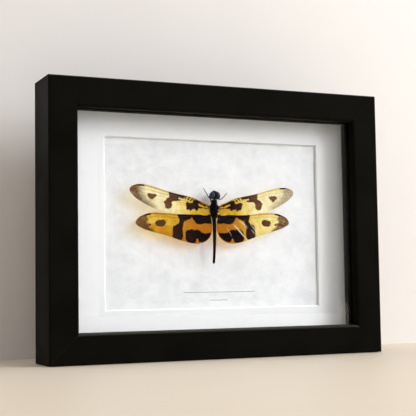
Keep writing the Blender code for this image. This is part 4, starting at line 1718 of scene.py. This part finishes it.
@dataclass
class Stage:
    """The pale shelf, the wall behind it, the lights, a black flag and the camera, in metres.

    Attributes:
        lights: The name, place, width and height, and watts of each light.
        flag: Corners of a black plane, which the pane mirrors in place of the bright room.
    """

    lights: tuple = (
        ("key", (0.47, -0.80, 0.56), (0.75, 0.42), 2.35),
        ("side", (0.95, -0.80, 0.26), (0.35, 0.4), 2.7),
        ("high_side", (0.85, -0.7, 0.75), (0.5, 0.4), 5.0),
        ("overhead", (0.0, -0.25, 1.1), (1.2, 0.6), 1.8),
    )
    flag: tuple = ((0.17, -0.70, 0.0), (0.40, -0.58, 0.0), (0.40, -0.58, 0.19), (0.17, -0.70, 0.19))
    world_strength: float = 0.32
    wall_y: float = 0.043
    camera_at: tuple = (-0.1917, -0.4238, 0.03106)
    camera_yaw: float = 23.986
    camera_pitch: float = 4.229
    camera_roll: float = -0.85
    lens: float = 91.43
    light_colour: tuple = (0.965, 0.985, 1.02)

    def camera(self) -> None:
        """Aim the camera as in the photograph, from its yaw, pitch and roll."""
        yaw, pitch, roll = (math.radians(a) for a in (self.camera_yaw, self.camera_pitch, self.camera_roll))
        ahead = Vector((math.sin(yaw) * math.cos(pitch), math.cos(yaw) * math.cos(pitch), math.sin(pitch)))
        level = Vector((math.cos(yaw), -math.sin(yaw), 0))
        rise = level.cross(ahead)
        right = level * math.cos(roll) + rise * math.sin(roll)
        up = rise * math.cos(roll) - level * math.sin(roll)
        data = bpy.data.cameras.new("view")
        data.lens = self.lens
        data.sensor_width = 36.0
        data.clip_start = 0.01
        view = bpy.data.objects.new("view", data)
        turn = Matrix((right, up, -ahead)).transposed().to_4x4()
        view.matrix_world = Matrix.Translation(self.camera_at) @ turn
        bpy.context.scene.collection.objects.link(view)
        bpy.context.scene.camera = view

    def light(self, name: str, at: tuple, size: tuple, power: float) -> None:
        """Add a soft rectangular light that faces the frame.

        Args:
            name: The light's name.
            at: Where it stands, in metres.
            size: Its width and height.
            power: Its power in watts.
        """
        data = bpy.data.lights.new(name, "AREA")
        data.shape = "RECTANGLE"
        data.size, data.size_y = size
        data.energy = power
        data.color = self.light_colour
        lamp = bpy.data.objects.new(name, data)
        aim = Vector((0, 0, 0.059)) - Vector(at)
        lamp.matrix_world = Matrix.Translation(at) @ aim.to_track_quat("-Z", "Y").to_matrix().to_4x4()
        bpy.context.scene.collection.objects.link(lamp)

    def plane(self, name: str, corners: tuple, colour: tuple, effects: Effects, one_sided: bool) -> None:
        """Add a stage plane with a faintly uneven matt finish.

        Args:
            name: Its name.
            corners: Its four corners, in metres.
            colour: Its colour.
            effects: The shared node groups.
            one_sided: Whether it is only seen from its front.
        """
        tree, material, shader = start_finish(name, Specular_IOR_Level=0.15)
        cloud = tree.group(effects.mottle, {"Vector": tree.where(), "Scale": 25.0, "High": 0.25})
        shade = tuple(value * 0.95 for value in colour[:3]) + (1.0,)
        feed(tree, shader, Base_Color=tree.blend(cloud.outputs[0], colour, shade))
        if one_sided:
            mix_clear(tree, shader, tree.node("NewGeometry").outputs["Backfacing"], (1.0, 1.0, 1.0, 1.0))
        mesh = bpy.data.meshes.new(name)
        mesh.from_pydata(corners, [], [(0, 1, 2, 3)])
        mesh.materials.append(material)
        ground = bpy.data.objects.new(name, mesh)
        bpy.context.scene.collection.objects.link(ground)

    def build(self, effects: Effects) -> None:
        """Set the stage.

        Args:
            effects: The shared node groups.
        """
        wide, y, z = 3.0, self.wall_y, -0.0002
        floor = ((-wide, -wide, z), (wide, -wide, z), (wide, wide, z), (-wide, wide, z))
        wall = ((-wide, y, z), (wide, y, z), (wide, y, wide), (-wide, y, wide))
        self.plane("pale_shelf", floor, srgb(243, 228, 206), effects, False)
        self.plane("pale_wall", wall, srgb(250, 246, 242), effects, True)
        self.plane("black_flag", self.flag, srgb(6, 6, 6), effects, False)
        for light in self.lights:
            self.light(*light)
        world = bpy.data.worlds.new("studio")
        world.use_nodes = True
        background = world.node_tree.nodes["Background"]
        background.inputs["Color"].default_value = (*self.light_colour, 1.0)
        background.inputs["Strength"].default_value = self.world_strength
        bpy.context.scene.world = world
        bpy.context.scene.view_settings.view_transform = "Standard"
        self.camera()


def dress_solids(effects: Effects) -> None:
    """Give the solids that show as they are their finishes.

    Args:
        effects: The shared node groups.
    """
    dress("glass", ClearGlass().build())
    spacer = Board(
        "black_card", srgb(26, 25, 22), srgb(40, 39, 34), 0.4, 900.0, 0.2, 0.01, 0.9, 0.2, gloss=0.0
    ).build(effects)
    for side in Rail:
        dress(f"spacer_{side.name.lower()}", spacer)
    dress("mat_board", Board(
        "white_mat", srgb(252, 252, 251), srgb(244, 244, 242), 0.35, 1400.0, 0.25, 0.012, 0.9, 0.25
    ).build(effects))
    dress("mount_board", Board(
        "grey_board", srgb(226, 223, 214), srgb(196, 192, 180), 0.6, 700.0, 0.15, 0.03, 0.9, 0.4
    ).build(effects))
    dress("back_panel", Board(
        "brown_hardboard", srgb(146, 104, 68), srgb(108, 74, 46), 0.8, 520.0, 0.2, 0.05, 0.75, 0.5
    ).build(effects))
    dress("pin", Plated("blued_pin", srgb(120, 122, 128), srgb(62, 62, 68), 0.25).build(effects))
    zinc = Plated("zinc_plate", srgb(196, 197, 195), srgb(150, 151, 150)).build(effects)
    for tab in ("top_a", "top_b", "bottom_a", "bottom_b", "left", "right"):
        dress(f"tab_{tab}", zinc)
    dress("hanger", Plated("brass_plate", srgb(206, 176, 106), srgb(150, 118, 62), 0.28).build(effects))
    steel = Plated("bright_steel", srgb(200, 200, 198), srgb(140, 139, 136), 0.25).build(effects)
    for nail in ("nail_a", "nail_b"):
        dress(nail, steel)


def main() -> None:
    """Dress the frame from the outside in, then the specimen, and set the stage."""
    logging.basicConfig(level=logging.INFO, format="%(message)s")
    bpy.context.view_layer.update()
    effects = Effects()
    Moulding().build(Lacquer().build(effects))
    dress_solids(effects)
    SpecimenPaper().build(BackingPaper().build(effects))
    cuticle = Cuticle().build(effects)
    eye = Cuticle(
        "compound_eye", srgb(28, 32, 40), srgb(60, 66, 76),
        pits=14000.0, pit_depth=0.02, roughness=0.22, gloss=0.35,
    ).build(effects)
    # The collar's paler cuticle is a painted highlight
    collar = Cuticle("collar_painted_highlight", srgb(24, 20, 18), srgb(56, 48, 43), roughness=0.45).build(effects)
    brown = Cuticle("brown_black_cuticle", srgb(18, 10, 10), srgb(44, 29, 22)).build(effects)
    body = Body()
    body.head(cuticle, eye)
    body.thorax(cuticle, collar)
    body.abdomen(brown)
    film, vein = Membrane().build(effects), Membrane().build_vein(effects)
    wings = (
        (Wing("forewing_on_left", FOREWING, Side.LEFT, FOREWING_AMBER, 0.95), "forewing_left"),
        (Wing("forewing_on_right", FOREWING, Side.RIGHT, FOREWING_AMBER, 0.6), "forewing_right"),
        (
            Wing(
                "hindwing_on_left", HINDWING, Side.LEFT, LEFT_HINDWING_AMBER, 1.0,
                droop=math.radians(1.2), rear_amber=0.2,
            ),
            "hindwing_left",
        ),
        (
            Wing(
                "hindwing_on_right", HINDWING, Side.RIGHT, RIGHT_HINDWING_AMBER, 0.9,
                folds=RIGHT_HINDWING_FOLDS,
            ),
            "hindwing_right",
        ),
    )
    for wing, node in wings:
        wing.build(film, vein, node)
    Stage().build(effects)


if __name__ == "__main__":
    main()
